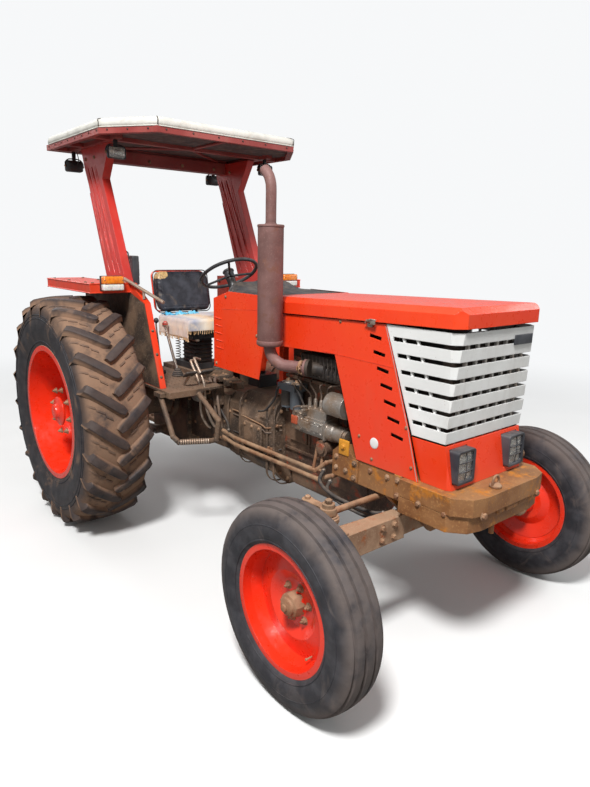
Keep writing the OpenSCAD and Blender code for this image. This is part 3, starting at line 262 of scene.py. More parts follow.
def pipe(path, radius, count=10, ends=True):
    """A tube: at each point of the path a circle of the radius given there, square to the path."""
    path = np.asarray(path, float)
    one, two = across_path(path)
    r = np.broadcast_to(np.asarray(radius, float), (len(path),))[:, None, None]
    a = circle(count)
    points = path[:, None] + r * (one[:, None] * np.cos(a)[None, :, None] + two[:, None] * np.sin(a)[None, :, None])
    faces = [grid(len(path), count, around=True)]
    points = points.reshape(-1, 3)
    if ends:
        n = len(points)
        points = np.concatenate([points, path[:1], path[-1:]])
        faces += [fan(0, count, n, True), fan(n - count, count, n + 1)]
    return points, faces


def rounded_loop(x, y, r, steps=4):
    """A rectangle of half sizes x and y with corners of radius r, as one ring of points."""
    a = np.concatenate([np.linspace(q, q + math.pi / 2, steps + 1) for q in (0, math.pi / 2, math.pi, 1.5 * math.pi)])
    cx = np.repeat([x - r, -(x - r), -(x - r), x - r], steps + 1)
    cy = np.repeat([y - r, y - r, -(y - r), -(y - r)], steps + 1)
    return np.stack([cx + r * np.cos(a), cy + r * np.sin(a)], -1)


def soft_block(low, high, r=4.0, corner=None, steps=3):
    """A block with rounded edges: rounded rectangles stacked along Z, drawn in at both ends along a quarter circle."""
    low, high = np.asarray(low, float), np.asarray(high, float)
    mid, half = (low + high) / 2, (high - low) / 2
    r = min(r, *(half * 0.96))
    corner = min(max(r, corner or r), half[0], half[1])
    a = np.linspace(0, math.pi / 2, steps + 1)
    inset = np.concatenate([r * (1 - np.sin(a)), r * (1 - np.sin(a[::-1]))])
    z = np.concatenate([-half[2] + r * (1 - np.cos(a)), half[2] - r * (1 - np.cos(a[::-1]))])
    rings = [
        np.column_stack([rounded_loop(half[0] - i, half[1] - i, max(corner - i, 0.01)),
            np.full(4 * 5, h)]) for i, h in zip(inset, z)
    ]
    count = len(rings[0])
    points = np.concatenate(rings + [[[0, 0, -half[2]], [0, 0, half[2]]]]) + mid
    n = count * len(rings)
    return points, [grid(len(rings), count, around=True), fan(0, count, n, True), fan(n - count, count, n + 1)]


def placed(points, at=(0, 0, 0), towards=(0, 0, 1), turn=0.0):
    """Points a shape drawn along Z in a direction, after a turn about its own axis, and moves it to a place."""
    z = np.asarray(towards, float)
    z = z / np.linalg.norm(z)
    x = np.cross((0, 0, 1) if abs(z[2]) < 0.9 else (0, 1, 0), z)
    x /= np.linalg.norm(x)
    c, s = math.cos(turn), math.sin(turn)
    x, y = c * x + s * np.cross(z, x), -s * x + c * np.cross(z, x)
    return np.asarray(points, float) @ np.stack([x, y, z]) + np.asarray(at, float)


def copies(shape, places):
    """The same small shape at many places: rows of (x, y, z)."""
    points, faces = shape
    places = np.asarray(places, float).reshape(-1, 3)
    step = len(points)
    moved = (points[None] + places[:, None]).reshape(-1, 3)
    blocks = faces if isinstance(faces, list) else [faces]
    offset = (np.arange(len(places)) * step)[:, None, None]
    return moved, [(np.asarray(b)[None] + offset).reshape(-1, np.asarray(b).shape[-1]) for b in blocks]


def bolt(r=9.0, h=6.0, washer=True, towards=(0, 0, 1), turn=0.2):
    """A hexagon head with a domed top over a round washer, along a direction."""
    a = circle(6)
    base = 1.8 if washer else 0.0
    levels = [(r, base), (r, base + h * 0.8), (r * 0.82, base + h)]
    ring = [np.column_stack([q * np.cos(a), q * np.sin(a), np.full(6, z)]) for q, z in levels]
    points = np.concatenate(ring + [[[0, 0, base + h]]])
    faces = [grid(3, 6, around=True), fan(12, 6, 18)]
    if washer:
        disc, rim = capped([(r * 1.45, 0), (r * 1.45, 1.4), (r * 1.35, 1.9)], 12)
        faces += [f + len(points) for f in rim]
        points = np.concatenate([points, disc])
    return placed(points, (0, 0, 0), towards, turn), faces


def bolts(form, places, towards, r=9.0, h=6.0, finish=0, washer=True, turn=0.2):
    """Hexagon heads at many places, all pointing the same way."""
    form.add(*copies(bolt(r, h, washer, towards, turn), places), finish)


def hose(form, points, r, finish=0, count=10, steps=6, clamp=None, shade=0.0):
    """A smooth tube through the points, with a clamp ring near each end where a finish for it is given."""
    path = smoothed(points, steps)
    form.add(*pipe(path, r, count), finish, shade)
    if clamp is not None:
        for a, b in ((0, 1), (-1, -2)):
            ahead = path[b] - path[a]
            ahead /= np.linalg.norm(ahead)
            form.lathe(clamp, [(r + 0.4, 0), (r + 2.2, 1), (r + 2.2, 9), (r + 0.4, 10)], 14, path[a] + ahead * 8,
                ahead)


# ---------- Finishes ----------


class Finish:
    """A material and short words for the nodes in it."""

    def __init__(self, name, **sockets):
        self.material = bpy.data.materials.new(name)
        self.material.use_nodes = True
        self.tree = self.material.node_tree
        self.tree.nodes.clear()
        self.shader = self.tree.nodes.new("ShaderNodeBsdfPrincipled")
        out = self.tree.nodes.new("ShaderNodeOutputMaterial")
        self.tree.links.new(self.shader.outputs["BSDF"], out.inputs["Surface"])
        self.coord = self.tree.nodes.new("ShaderNodeTexCoord")
        for key, value in sockets.items():
            self.set(key.replace("_", " "), value)

    def node(self, kind, **settings):
        made = self.tree.nodes.new("ShaderNode" + kind)
        for key, value in settings.items():
            setattr(made, key, value)
        return made

    def put(self, socket, value):
        if isinstance(value, bpy.types.NodeSocket):
            self.tree.links.new(value, socket)
        elif socket.type == "RGBA" and len(value) == 3:
            socket.default_value = (*value, 1)
        else:
            socket.default_value = value

    def set(self, socket, value):
        self.put(self.shader.inputs[socket], value)

    def mapped(self, scale):
        made = self.node("Mapping")
        self.put(made.inputs["Vector"], self.coord.outputs["Object"])
        made.inputs["Scale"].default_value = scale
        return made.outputs["Vector"]

    def noise(self, scale, detail=3.0, rough=0.55, vector=None, twist=0.0):
        made = self.node("TexNoise")
        self.put(made.inputs["Vector"], vector or self.coord.outputs["Object"])
        for key, value in (("Scale", scale), ("Detail", detail), ("Roughness", rough), ("Distortion", twist)):
            made.inputs[key].default_value = value
        return made.outputs["Fac"]

    def cells(self, scale):
        made = self.node("TexVoronoi")
        self.put(made.inputs["Vector"], self.coord.outputs["Object"])
        made.inputs["Scale"].default_value = scale
        return made.outputs["Distance"]

    def step(self, value, low, high, to_low=0.0, to_high=1.0):
        made = self.node("MapRange", interpolation_type="SMOOTHSTEP")
        self.put(made.inputs["Value"], value)
        for key, v in (("From Min", low), ("From Max", high), ("To Min", to_low), ("To Max", to_high)):
            made.inputs[key].default_value = v
        return made.outputs["Result"]

    def sum(self, kind, a, b=0.0):
        made = self.node("Math", operation=kind, use_clamp=kind in ("MULTIPLY", "ADD", "MAXIMUM"))
        self.put(made.inputs[0], a)
        self.put(made.inputs[1], b)
        return made.outputs[0]

    def mix(self, amount, a, b):
        made = self.node("Mix", data_type="RGBA")
        self.put(made.inputs["Factor"], amount)
        self.put(made.inputs["A"], a)
        self.put(made.inputs["B"], b)
        return made.outputs["Result"]

    def upward(self, low=0.55, high=0.95):
        """How far a face looks up, in the piece's own directions."""
        parts = self.node("SeparateXYZ")
        self.put(parts.inputs[0], self.coord.outputs["Normal"])
        return self.step(parts.outputs["Z"], low, high)

    def inward(self):
        """1 on faces that look towards the middle plane or straight down, as the inside of a cover does; the mask for
        painted shade inside covers.
        """
        place, way = self.node("SeparateXYZ"), self.node("SeparateXYZ")
        self.put(place.inputs[0], self.coord.outputs["Object"])
        self.put(way.inputs[0], self.coord.outputs["Normal"])
        across = self.step(self.sum("DIVIDE", way.outputs["Y"], place.outputs["Y"]), -1.2, -0.4, 1.0, 0.0)
        return self.sum("MAXIMUM", across, self.step(way.outputs["Z"], -0.9, -0.6, 1.0, 0.0))

    def height(self, low, high):
        """From 1 at the lower height to 0 at the upper one, in metres."""
        parts = self.node("SeparateXYZ")
        self.put(parts.inputs[0], self.coord.outputs["Object"])
        return self.step(parts.outputs["Z"], low, high, 1.0, 0.0)

    def edges(self, radius=0.006, low=0.03, high=0.25):
        """1 close to a sharp edge, where a rounded normal departs from the face's own one."""
        soft = self.node("Bevel", samples=4)
        soft.inputs["Radius"].default_value = radius
        flat = self.node("NewGeometry")
        dot = self.node("VectorMath", operation="DOT_PRODUCT")
        self.put(dot.inputs[0], soft.outputs["Normal"])
        self.put(dot.inputs[1], flat.outputs["Normal"])
        return self.step(self.sum("SUBTRACT", 1.0, dot.outputs["Value"]), low, high)

    def relief(self, height, strength=0.3, distance=0.002, soft=0.0):
        """Bump from a height, over normals rounded at the edges where soft gives a radius."""
        made = self.node("Bump")
        made.inputs["Strength"].default_value = strength
        made.inputs["Distance"].default_value = distance
        self.put(made.inputs["Height"], height)
        if soft:
            rounded = self.node("Bevel", samples=4)
            rounded.inputs["Radius"].default_value = soft
            self.put(made.inputs["Normal"], rounded.outputs["Normal"])
        self.set("Normal", made.outputs["Normal"])

    def shade(self):
        made = self.node("Attribute", attribute_name="shade")
        return made.outputs["Fac"]


def painted(name, colour, faded, dust=(0.30, 0.19, 0.12), rust=(0.16, 0.055, 0.02), gloss=0.30, dirt=0.25,
    chips=0.35, low=0.0, coat=0.3, inside=False):
    """Sheet metal paint: slow fading, dust on faces that look up and in patches, chipped edges, orange peel; with
    inside set, painted shade on inner faces and undersides.
    """
    f = Finish(name, Metallic=0.0, Coat_Weight=coat, Coat_Roughness=0.12)
    fade = f.step(f.noise(2.3, 3), 0.38, 0.68)
    base = f.mix(fade, colour, faded)
    streak = f.step(f.noise(9.0, 5, 0.6, f.mapped((1, 1, 0.25))), 0.52, 0.74)
    film = f.sum("MULTIPLY", streak, dirt)
    if low:
        film = f.sum("ADD", film, f.sum("MULTIPLY", f.height(low - 0.35, low), 0.4))
    dusty = f.mix(film, base, dust)
    worn = f.sum("MULTIPLY", f.edges(0.005), f.step(f.noise(38, 4, 0.65), 0.50, 0.62))
    spots = f.step(f.noise(120, 2, 0.5), 0.735, 0.76)
    base = f.mix(f.sum("MULTIPLY", f.sum("ADD", worn, spots), chips), dusty, rust)
    # With inside set, inner faces and undersides are painted nearly black: painted shade inside the covers
    f.set("Base Color", f.mix(f.inward(), base, (0.030, 0.018, 0.013)) if inside else base)
    f.set("Roughness", f.step(f.sum("ADD", film, f.noise(26, 3)), 0.3, 1.0, gloss, gloss + 0.30))
    f.relief(f.noise(240, 2), 0.05, 0.001, 0.004)
    return f.material


def cast(name, metal, earth, bright, rough=0.72, dust=0.6, scale=1.0, oil=(0.05, 0.035, 0.025), sheen=0.1,
    rusty=None):
    """Cast or forged metal that has stood outside: caked earth, oil-dark patches and rubbed edges."""
    f = Finish(name, Metallic=sheen)
    base = f.mix(f.step(f.noise(6.5 * scale, 4), 0.36, 0.66), metal, earth)
    base = f.mix(f.sum("MULTIPLY", f.step(f.noise(3.1 * scale, 3, 0.6, twist=0.6), 0.50, 0.70), 0.75), base, oil)
    base = f.mix(f.sum("MULTIPLY", f.upward(0.3, 0.9), dust), base, earth)
    if rusty:
        base = f.mix(f.step(f.noise(11 * scale, 5, 0.65), 0.53, 0.66), base, rusty)
    grain = f.noise(90 * scale, 4, 0.6)
    base = f.mix(f.sum("MULTIPLY", f.step(grain, 0.52, 0.7), 0.5), base, bright)
    worn = f.sum("MULTIPLY", f.edges(0.005), f.step(f.noise(30, 3), 0.42, 0.6))
    f.set("Base Color", f.mix(f.sum("MULTIPLY", worn, 0.7), base, bright))
    f.set("Roughness", f.step(grain, 0.3, 0.7, rough - 0.14, rough + 0.12))
    f.relief(f.sum("ADD", grain, f.sum("MULTIPLY", f.noise(22 * scale, 4, 0.6), 0.8)), 0.45, 0.0022, 0.005)
    return f.material


def plastic(name, colour, pale, gloss=0.42, dust=0.35, grain=700.0, bump=0.12):
    """Moulded or coated black parts: fine grain, greyed where the sun reaches, dust in the grain."""
    f = Finish(name)
    base = f.mix(f.step(f.noise(7, 4), 0.40, 0.68), colour, pale)
    film = f.sum("MULTIPLY", f.sum("MULTIPLY", f.upward(0.2, 0.95), f.step(f.noise(17, 5, 0.6), 0.35, 0.7)), dust)
    f.set("Base Color", f.mix(film, base, (0.23, 0.17, 0.125)))
    f.set("Roughness", f.step(f.noise(30, 3), 0.3, 0.7, gloss, gloss + 0.18))
    f.relief(f.cells(grain), bump, 0.0008, 0.003)
    return f.material


def rubber(name, wall, dust, worn):
    """Tyre rubber: the shade attribute runs from 0 on the clean wall to 1 on caked tread; fine cracks."""
    f = Finish(name, Specular_IOR_Level=0.22)
    caked = f.sum("MULTIPLY", f.shade(), f.step(f.noise(9, 5, 0.6), 0.18, 0.55))
    smear = f.sum("MULTIPLY", f.step(f.noise(5, 4, 0.65, twist=0.8), 0.54, 0.74), 0.55)
    base = f.mix(f.step(f.noise(14, 3), 0.35, 0.7), wall, worn)
    base = f.mix(smear, base, dust)
    f.set("Base Color", f.mix(caked, base, dust))
    grain = f.noise(160, 4, 0.6)
    f.set("Roughness", f.step(f.sum("ADD", caked, f.sum("MULTIPLY", grain, 0.4)), 0.1, 1.0, 0.50, 0.92))
    f.relief(f.sum("ADD", grain, f.sum("MULTIPLY", f.cells(55), 0.5)), 0.28, 0.0014)
    return f.material


def glass(name, tint, rough=0.06):
    """Clear moulded lens over its reflector."""
    f = Finish(name, Transmission_Weight=0.85, IOR=1.49)
    f.set("Base Color", f.mix(f.step(f.noise(40, 3), 0.4, 0.7), tint, tuple(0.86 * c for c in tint)))
    f.set("Roughness", f.step(f.noise(60, 3), 0.3, 0.8, rough, rough + 0.12))
    wave = f.node("TexWave", wave_type="BANDS", bands_direction="Y", wave_profile="SIN")
    f.put(wave.inputs["Vector"], f.coord.outputs["Object"])
    wave.inputs["Scale"].default_value = 34.0
    f.relief(wave.outputs["Fac"], 0.30, 0.002)
    return f.material


def moulded_lens(name, colour, deep):
    """Coloured lamp lens with fine ribs, lit from inside by nothing."""
    f = Finish(name, Coat_Weight=0.6, Coat_Roughness=0.08, Subsurface_Weight=0.15)
    f.set("Base Color", f.mix(f.step(f.noise(60, 3), 0.35, 0.7), colour, deep))
    f.set("Roughness", f.step(f.noise(80, 2), 0.3, 0.8, 0.16, 0.34))
    wave = f.node("TexWave", wave_type="BANDS", bands_direction="Z", wave_profile="SIN")
    f.put(wave.inputs["Vector"], f.coord.outputs["Object"])
    wave.inputs["Scale"].default_value = 60.0
    f.relief(wave.outputs["Fac"], 0.5, 0.0014)
    return f.material


def vinyl(name, colour, pale, crack=0.25, rough=0.5, edge=None, edge_at=0.5):
    """Coated cloth: grain, creases, dust in the low places, and a torn edge where the shade attribute is high."""
    f = Finish(name)
    grain = f.cells(260)
    base = f.mix(f.step(f.noise(12, 4), 0.40, 0.70), colour, pale)
    base = f.mix(f.sum("MULTIPLY", f.step(f.noise(5, 5, 0.6, twist=1.2), 0.56, 0.72), crack), base,
        (0.30, 0.22, 0.15))
    if edge:
        torn = f.step(f.sum("ADD", f.shade(), f.sum("MULTIPLY", f.noise(34, 4, 0.6), 0.35)), edge_at + 0.12,
            edge_at + 0.20)
        base = f.mix(torn, base, f.mix(f.step(f.noise(70, 4), 0.4, 0.65), edge, tuple(0.55 * c for c in edge)))
    f.set("Base Color", base)
    f.set("Roughness", f.step(f.noise(28, 3), 0.3, 0.7, rough - 0.08, rough + 0.2))
    f.relief(f.sum("ADD", grain, f.sum("MULTIPLY", f.noise(18, 4), 0.9)), 0.22, 0.0014)
    return f.material


def patchwork(name):
    """Old striped throw: soft stripes of cream, straw, grey-blue and pale rose with a woven surface and dusty wear."""
    f = Finish(name, Sheen_Weight=0.35, Sheen_Roughness=0.6)
    uv = f.node("UVMap", uv_map="cloth")
    parts = f.node("SeparateXYZ")
    f.put(parts.inputs[0], uv.outputs["UV"])
    wobble = f.sum("MULTIPLY", f.noise(14, 3), 0.05)
    along = f.sum("ADD", parts.outputs["X"], wobble)
    stripes = f.node("ValToRGB")
    f.put(stripes.inputs["Fac"], along)
    ramp = stripes.color_ramp
    rows = (
        (0.0, (0.62, 0.46, 0.36)), (0.12, (0.80, 0.62, 0.46)), (0.24, (0.36, 0.37, 0.46)), (0.36,
            (0.86, 0.74, 0.60)), (0.48, (0.84, 0.50, 0.20)),
        (0.58, (0.74, 0.60, 0.56)), (0.70, (0.42, 0.44, 0.54)), (0.82, (0.88, 0.74, 0.58)), (0.93,
            (0.66, 0.34, 0.22)),
    )
    ramp.elements[0].position, ramp.elements[0].color = rows[0][0], (*rows[0][1], 1)
    ramp.elements[1].position, ramp.elements[1].color = rows[-1][0], (*rows[-1][1], 1)
    for at, colour in rows[1:-1]:
        ramp.elements.new(at).color = (*colour, 1)
    base = f.mix(f.step(f.noise(24, 4), 0.42, 0.70), stripes.outputs["Color"], (0.72, 0.60, 0.50))
    f.set("Base Color", f.mix(f.sum("MULTIPLY", f.step(f.noise(7, 4, 0.6), 0.52, 0.72), 0.55), base,
        (0.34, 0.24, 0.18)))
    f.set("Roughness", f.step(f.noise(60, 2), 0.3, 0.7, 0.82, 0.96))
    weft = f.node("TexWave", wave_type="BANDS", bands_direction="X", wave_profile="SIN")
    warp = f.node("TexWave", wave_type="BANDS", bands_direction="Y", wave_profile="SIN")
    for wave in (weft, warp):
        f.put(wave.inputs["Vector"], uv.outputs["UV"])
        wave.inputs["Scale"].default_value = 46.0
    f.relief(f.sum("MULTIPLY", weft.outputs["Fac"], warp.outputs["Fac"]), 0.55, 0.0016)
    return f.material


FINISHES = {}


def make_finishes():
    """Works out every finish once."""
    c = bpy.context.scene.tractor_colours
    body, rims, posts, roof = (tuple(getattr(c, k)) for k in ("body", "rims", "posts", "roof"))
    earth = (0.30, 0.185, 0.115)
    FINISHES.update(
        # The body paint carries painted shade on its inner faces and undersides (inside=True)
        orange=painted("orange_paint", body, tuple(min(1, v * k + 0.002) for v, k in zip(body, (1.0, 1.25, 1.1))),
            dirt=0.06, chips=0.16, low=1.0, gloss=0.26, coat=0.25, inside=True),
        fender=painted("fender_paint", body, (0.70, 0.048, 0.012), dirt=0.22, chips=0.6, gloss=0.34),
        rim=painted("rim_paint", rims, (0.88, 0.035, 0.008), dirt=0.13, chips=0.5, gloss=0.26, coat=0.3),
        rim_edge=cast("rim_edge", (0.52, 0.36, 0.26), (0.36, 0.24, 0.16), (0.62, 0.50, 0.42), 0.6, 0.2, 3.0),
        post=painted("post_paint", tuple(v * 1.25 for v in posts), posts, dirt=0.12, chips=0.35, gloss=0.32),
        # Frame paint darkened well below the posts' colour: painted shade, as under the roof
        roof_rail=painted("roof_rail_paint", (0.26, 0.034, 0.028), (0.36, 0.080, 0.068), dirt=0.2, chips=0.5,
            gloss=0.42, coat=0.1),
        grille=painted("grille_white", (0.86, 0.86, 0.84), (0.74, 0.74, 0.72), dust=(0.42, 0.36, 0.30),
            rust=(0.20, 0.08, 0.04), dirt=0.22, gloss=0.33, chips=0.45, coat=0.2),
        spacer=painted("spacer_grey", (0.42, 0.41, 0.39), (0.30, 0.27, 0.24), dirt=0.5, gloss=0.5, coat=0.0),
        casting=cast("dusty_casting", (0.060, 0.040, 0.029), (0.21, 0.128, 0.078), (0.36, 0.26, 0.19), 0.74, 0.7,
            oil=(0.022, 0.015, 0.011)),
        block=cast("engine_casting", (0.075, 0.038, 0.026), (0.19, 0.112, 0.068), (0.32, 0.22, 0.15), 0.66, 0.55,
            oil=(0.022, 0.014, 0.010), rusty=(0.36, 0.06, 0.02)),
        dark=cast("dark_iron", (0.020, 0.016, 0.015), (0.065, 0.044, 0.032), (0.14, 0.105, 0.08), 0.66, 0.4),
        weight=cast("weight_rust", (0.23, 0.092, 0.030), (0.33, 0.155, 0.060), (0.52, 0.27, 0.10), 0.62, 0.4, 0.9,
            oil=(0.085, 0.034, 0.014), rusty=(0.50, 0.18, 0.022)),
        beam=cast("beam_rust", (0.27, 0.15, 0.085), (0.42, 0.265, 0.165), (0.54, 0.37, 0.25), 0.76, 0.55, 1.2,
            oil=(0.20, 0.105, 0.055), rusty=(0.34, 0.10, 0.03)),
        rust=cast("rusty_steel", (0.24, 0.105, 0.05), (0.40, 0.25, 0.15), (0.46, 0.27, 0.16), 0.76, 0.5, 1.6),
        pump=cast("pump_alloy", (0.36, 0.33, 0.30), (0.33, 0.225, 0.15), (0.66, 0.63, 0.58), 0.46, 0.45, 1.4,
            sheen=0.65),
        bright=cast("bare_steel", (0.56, 0.52, 0.48), (0.44, 0.33, 0.25), (0.76, 0.72, 0.68), 0.36, 0.30, 2.0,
            sheen=0.85),
        zinc=cast("dusty_tube", (0.50, 0.40, 0.32), (0.48, 0.34, 0.24), (0.72, 0.62, 0.54), 0.42, 0.35, 2.2,
            sheen=0.55),
        link=cast("link_steel", (0.16, 0.12, 0.10), (0.30, 0.20, 0.14), (0.44, 0.36, 0.30), 0.6, 0.5, 1.5, sheen=0.4),
        exhaust=cast("muffler_steel", (0.175, 0.082, 0.072), (0.225, 0.115, 0.102), (0.31, 0.185, 0.165), 0.66, 0.2,
            1.3, oil=(0.12, 0.058, 0.050), rusty=(0.20, 0.090, 0.066)),
        engine_orange=painted("engine_orange", (0.50, 0.075, 0.02), (0.34, 0.075, 0.035), dirt=0.8, chips=0.8,
            gloss=0.55, coat=0.0),
        fringe=vinyl("fringe_thread", (0.70, 0.42, 0.20), (0.84, 0.62, 0.42), 0.3, 0.85),
        ochre=painted("ochre_bracket", (0.62, 0.26, 0.02), (0.50, 0.20, 0.03), dirt=0.5, chips=0.6, gloss=0.45,
            coat=0.1),
        black=plastic("black_plastic", (0.018, 0.019, 0.022), (0.055, 0.055, 0.060)),
        bezel=plastic("lamp_bezel", (0.032, 0.034, 0.042), (0.075, 0.078, 0.088), 0.38, 0.25, 500),
        satin=plastic("black_paint", (0.016, 0.016, 0.018), (0.045, 0.042, 0.042), 0.36, 0.5, 900, 0.06),
        hosing=plastic("hose_rubber", (0.030, 0.028, 0.028), (0.10, 0.075, 0.06), 0.62, 0.6, 420, 0.2),
        filter_blue=painted("filter_blue", (0.085, 0.10, 0.12), (0.15, 0.165, 0.18), dirt=0.6, chips=0.3, gloss=0.40),
        wall=rubber("rear_rubber", (0.022, 0.022, 0.027), (0.30, 0.18, 0.115), (0.042, 0.040, 0.045)),
        front_wall=rubber("front_rubber", (0.024, 0.025, 0.031), (0.17, 0.135, 0.120), (0.055, 0.055, 0.063)),
        lens=glass("lamp_glass", (0.90, 0.90, 0.88)),
        reflector=cast("reflector", (0.60, 0.56, 0.50), (0.46, 0.36, 0.26), (0.80, 0.78, 0.74), 0.30, 0.1, 2.0,
            sheen=0.9),
        amber=moulded_lens("amber_lens", (0.90, 0.27, 0.015), (0.72, 0.17, 0.01)),
        clear=moulded_lens("pale_lens", (0.80, 0.78, 0.74), (0.62, 0.60, 0.56)),
        red_lens=moulded_lens("red_lens", (0.48, 0.012, 0.01), (0.30, 0.008, 0.008)),
        seat=vinyl("seat_vinyl", (0.016, 0.017, 0.024), (0.045, 0.048, 0.062), 0.35, 0.46, (0.58, 0.38, 0.16), 0.72),
        roof=vinyl("roof_cover", tuple(v * 0.86 for v in roof), tuple(v * 0.74 for v in roof), 0.35, 0.6,
            (0.20, 0.105, 0.06), 0.60),
        # Dark lining colour: painted shade under the roof
        lining=vinyl("roof_lining", (0.085, 0.064, 0.060), (0.13, 0.10, 0.092), 0.45, 0.7),
        blue=plastic("blue_sheet", (0.10, 0.52, 0.82), (0.24, 0.66, 0.88), 0.28, 0.2, 200, 0.3),
        knob=plastic("red_knob", (0.50, 0.018, 0.012), (0.62, 0.05, 0.03), 0.28, 0.2),
        throw=patchwork("patchwork_throw"),
    )


NODE_FINISH = {
    "transmission": "casting", "engine": "block", "exhaust_manifold": "dark", "exhaust_stack": "exhaust",
    "injection_pump": "pump", "fuel_filters": "filter_blue", "alternator": "pump", "fluid_pipes": "rust",
    "radiator": "dark", "front_frame": "weight", "front_weights": "weight", "front_axle": "beam",
    "side_panels": "orange", "nose": "orange", "grille": "grille", "headlamps": "bezel", "cowl": "orange",
    "dash": "black", "steering_column": "satin", "fenders": "fender", "posts": "post", "canopy_frame": "roof_rail",
    "canopy_pad": "roof", "work_lamps": "satin", "indicators": "amber", "grab_handles": "zinc",
    "platform": "casting", "seat_frame": "satin", "seat_cushion": "seat", "seat_backrest": "seat",
    "seat_throw": "throw", "controls": "bright", "drawbar": "rust", "hood": "orange", "steering_wheel": "black",
    "knuckle_right": "rust", "knuckle_left": "rust", "tie_rod": "rust", "rear_rim_right": "rim",
    "rear_rim_left": "rim", "rear_tyre_right": "wall", "rear_tyre_left": "wall", "front_rim_right": "rim",
    "front_rim_left": "rim", "front_tyre_right": "front_wall", "front_tyre_left": "front_wall",
    "lower_links": "link", "lift_arms": "link", "lift_rods": "link",
}


# ---------- Tyres ----------


def tyre_radius(y, section):
    """Radius of the carcass at a distance y from the middle plane, read off its half section between the points."""
    ys, rs = np.array(section[:8], float).T
    return np.interp(np.abs(y), ys, rs)


def wheel_points(side, track, x, r, angle, lateral, radius):
    """Places beside the tractor from an angle round the axle (0 up, growing forwards), a distance out and a radius."""
    out = side * (track + lateral)
    return np.stack(np.broadcast_arrays(x + radius * np.sin(angle), out, r + radius * np.cos(angle)), -1)


REAR_WHEEL, FRONT_WHEEL = (TRACK, 0, REAR_R), (FRONT_TRACK, WHEELBASE, FRONT_R)
REAR_SECTION = ((0, 751), (60, 750), (120, 746), (165, 738), (190, 724), (204, 700), (211, 664), (215, 620),
    (215, 590), (209, 545), (199, 500), (193, 472), (190, 461))


def carcass(form, side, section, bead, count, shades):
    """The rear tyre's wall as a closed tube: its section turned round the axle, and closed inside along the rim."""
    curve = smoothed(section, 3)
    inner = np.array([(bead[1], bead[0])])
    lateral = np.concatenate([curve[:, 0], inner[:, 0], -inner[::-1, 0], -curve[:0:-1, 0]])
    radius = np.concatenate([curve[:, 1], inner[:, 1], inner[::-1, 1], curve[:0:-1, 1]])
    shade = np.interp(radius, *shades)
    shade[len(curve) : len(curve) + 2] = 0
    points = wheel_points(side, *REAR_WHEEL, circle(count)[None, :], lateral[:, None], radius[:, None])
    faces = grid(len(radius), count, around=True, along=True)
    form.add(points, faces if side > 0 else faces[:, ::-1], 0, np.repeat(shade, count))


def tread_blocks(form, points, turn, shade):
    """The same open block many times round the tread: its sides as a grid, its two ends as one face each."""
    count, rows, columns = points.shape[:3]
    quads = grid(rows, columns)
    ends = np.array([np.arange(columns - 1, -1, -1), (rows - 1) * columns + np.arange(columns)])
    blocks = [quads[:, ::-1] if turn else quads, ends if turn else ends[:, ::-1]]
    offset = (np.arange(count) * rows * columns)[:, None, None]
    form.add(points, [(b[None] + offset).reshape(-1, b.shape[1]) for b in blocks], 0, shade)


def lugs(form, side, sizes):
    """Diagonal lugs: t runs from the nose, a little past the middle, to the shoulder; s is the distance outwards,
    the angle falls back as s grows, and the cross section is a trapezium whose top is rubbed flat and whose foot
    stands in the carcass."""
    t = np.linspace(0, 1, 13)
    past_middle, run, widest, round_radius = 24, 236, 214.6, 767
    profile = np.array(
        [(-0.86, 0), (-0.72, 0.45), (-0.56, 0.93), (-0.46, 1.0), (0.46, 1.0), (0.56, 0.93), (0.72, 0.45), (0.86, 0)]
    )
    slant = math.atan2(sizes.lug_sweep, run)
    pitch = 2 * math.pi / sizes.lugs
    for half in (1, -1):
        s = half * (run * t - past_middle)
        base = tyre_radius(s, REAR_SECTION) - 5
        crown = REAR_R - 16 * (np.abs(s) / 190) ** 2
        taper = np.interp(t, (0, 0.86, 1), (1, 1, 0.42))
        top = np.minimum(crown, base + 5 + (sizes.lug_height + 16) * taper)
        lead = sizes.lug_sweep * (1 - t) ** 0.92
        body = sizes.lug_width * np.interp(t, (0, 0.04, 0.1, 0.9, 1), (0.62, 0.9, 1.0, 1.0, 1.12))
        lat = s[:, None] + half * (profile[:, 0] * math.sin(slant))[None, :] * body[:, None]
        lat = np.clip(lat, -widest, widest)
        arc = lead[:, None] + (profile[:, 0] * math.cos(slant))[None, :] * body[:, None]
        radius = base[:, None] + (top - base)[:, None] * profile[:, 1][None, :]
        start = (0.0 if half > 0 else pitch / 2) + pitch * np.arange(sizes.lugs)
        angle = start[:, None, None] + arc[None] / round_radius
        points = wheel_points(side, *REAR_WHEEL, angle, lat, radius)
        shade = np.broadcast_to(np.where(profile[:, 1] > 0.9, 0.16, 0.82)[None, None], angle.shape).reshape(-1)
        tread_blocks(form, points, side * half > 0, shade)


def wear_bars(form, side, sizes):
    """Three short low bars between each two lugs on each half of the tread, lying almost straight across."""
    pitch = 2 * math.pi / sizes.lugs
    profile = np.array([(-9, -3), (-6, 6), (6, 6), (9, -3)])
    u = np.linspace(0, 1, 4)
    for half in (1, -1):
        start = (0.0 if half > 0 else pitch / 2) + pitch * (np.arange(sizes.lugs) + 0.5)
        for near, far, ahead in ((150, 198, 36), (98, 146, 74), (52, 92, 118)):
            s = half * (near + (far - near) * u)
            arc = ahead - 26 * u
            base = tyre_radius(s, REAR_SECTION)
            angle = start[:, None, None] + (arc[None, :, None] + profile[:, 0][None, None]) / 750
            radius = base[None, :, None] + profile[:, 1][None, None]
            points = wheel_points(side, *REAR_WHEEL, angle, s[None, :, None], radius)
            tread_blocks(form, points, side * half > 0, 0.55)


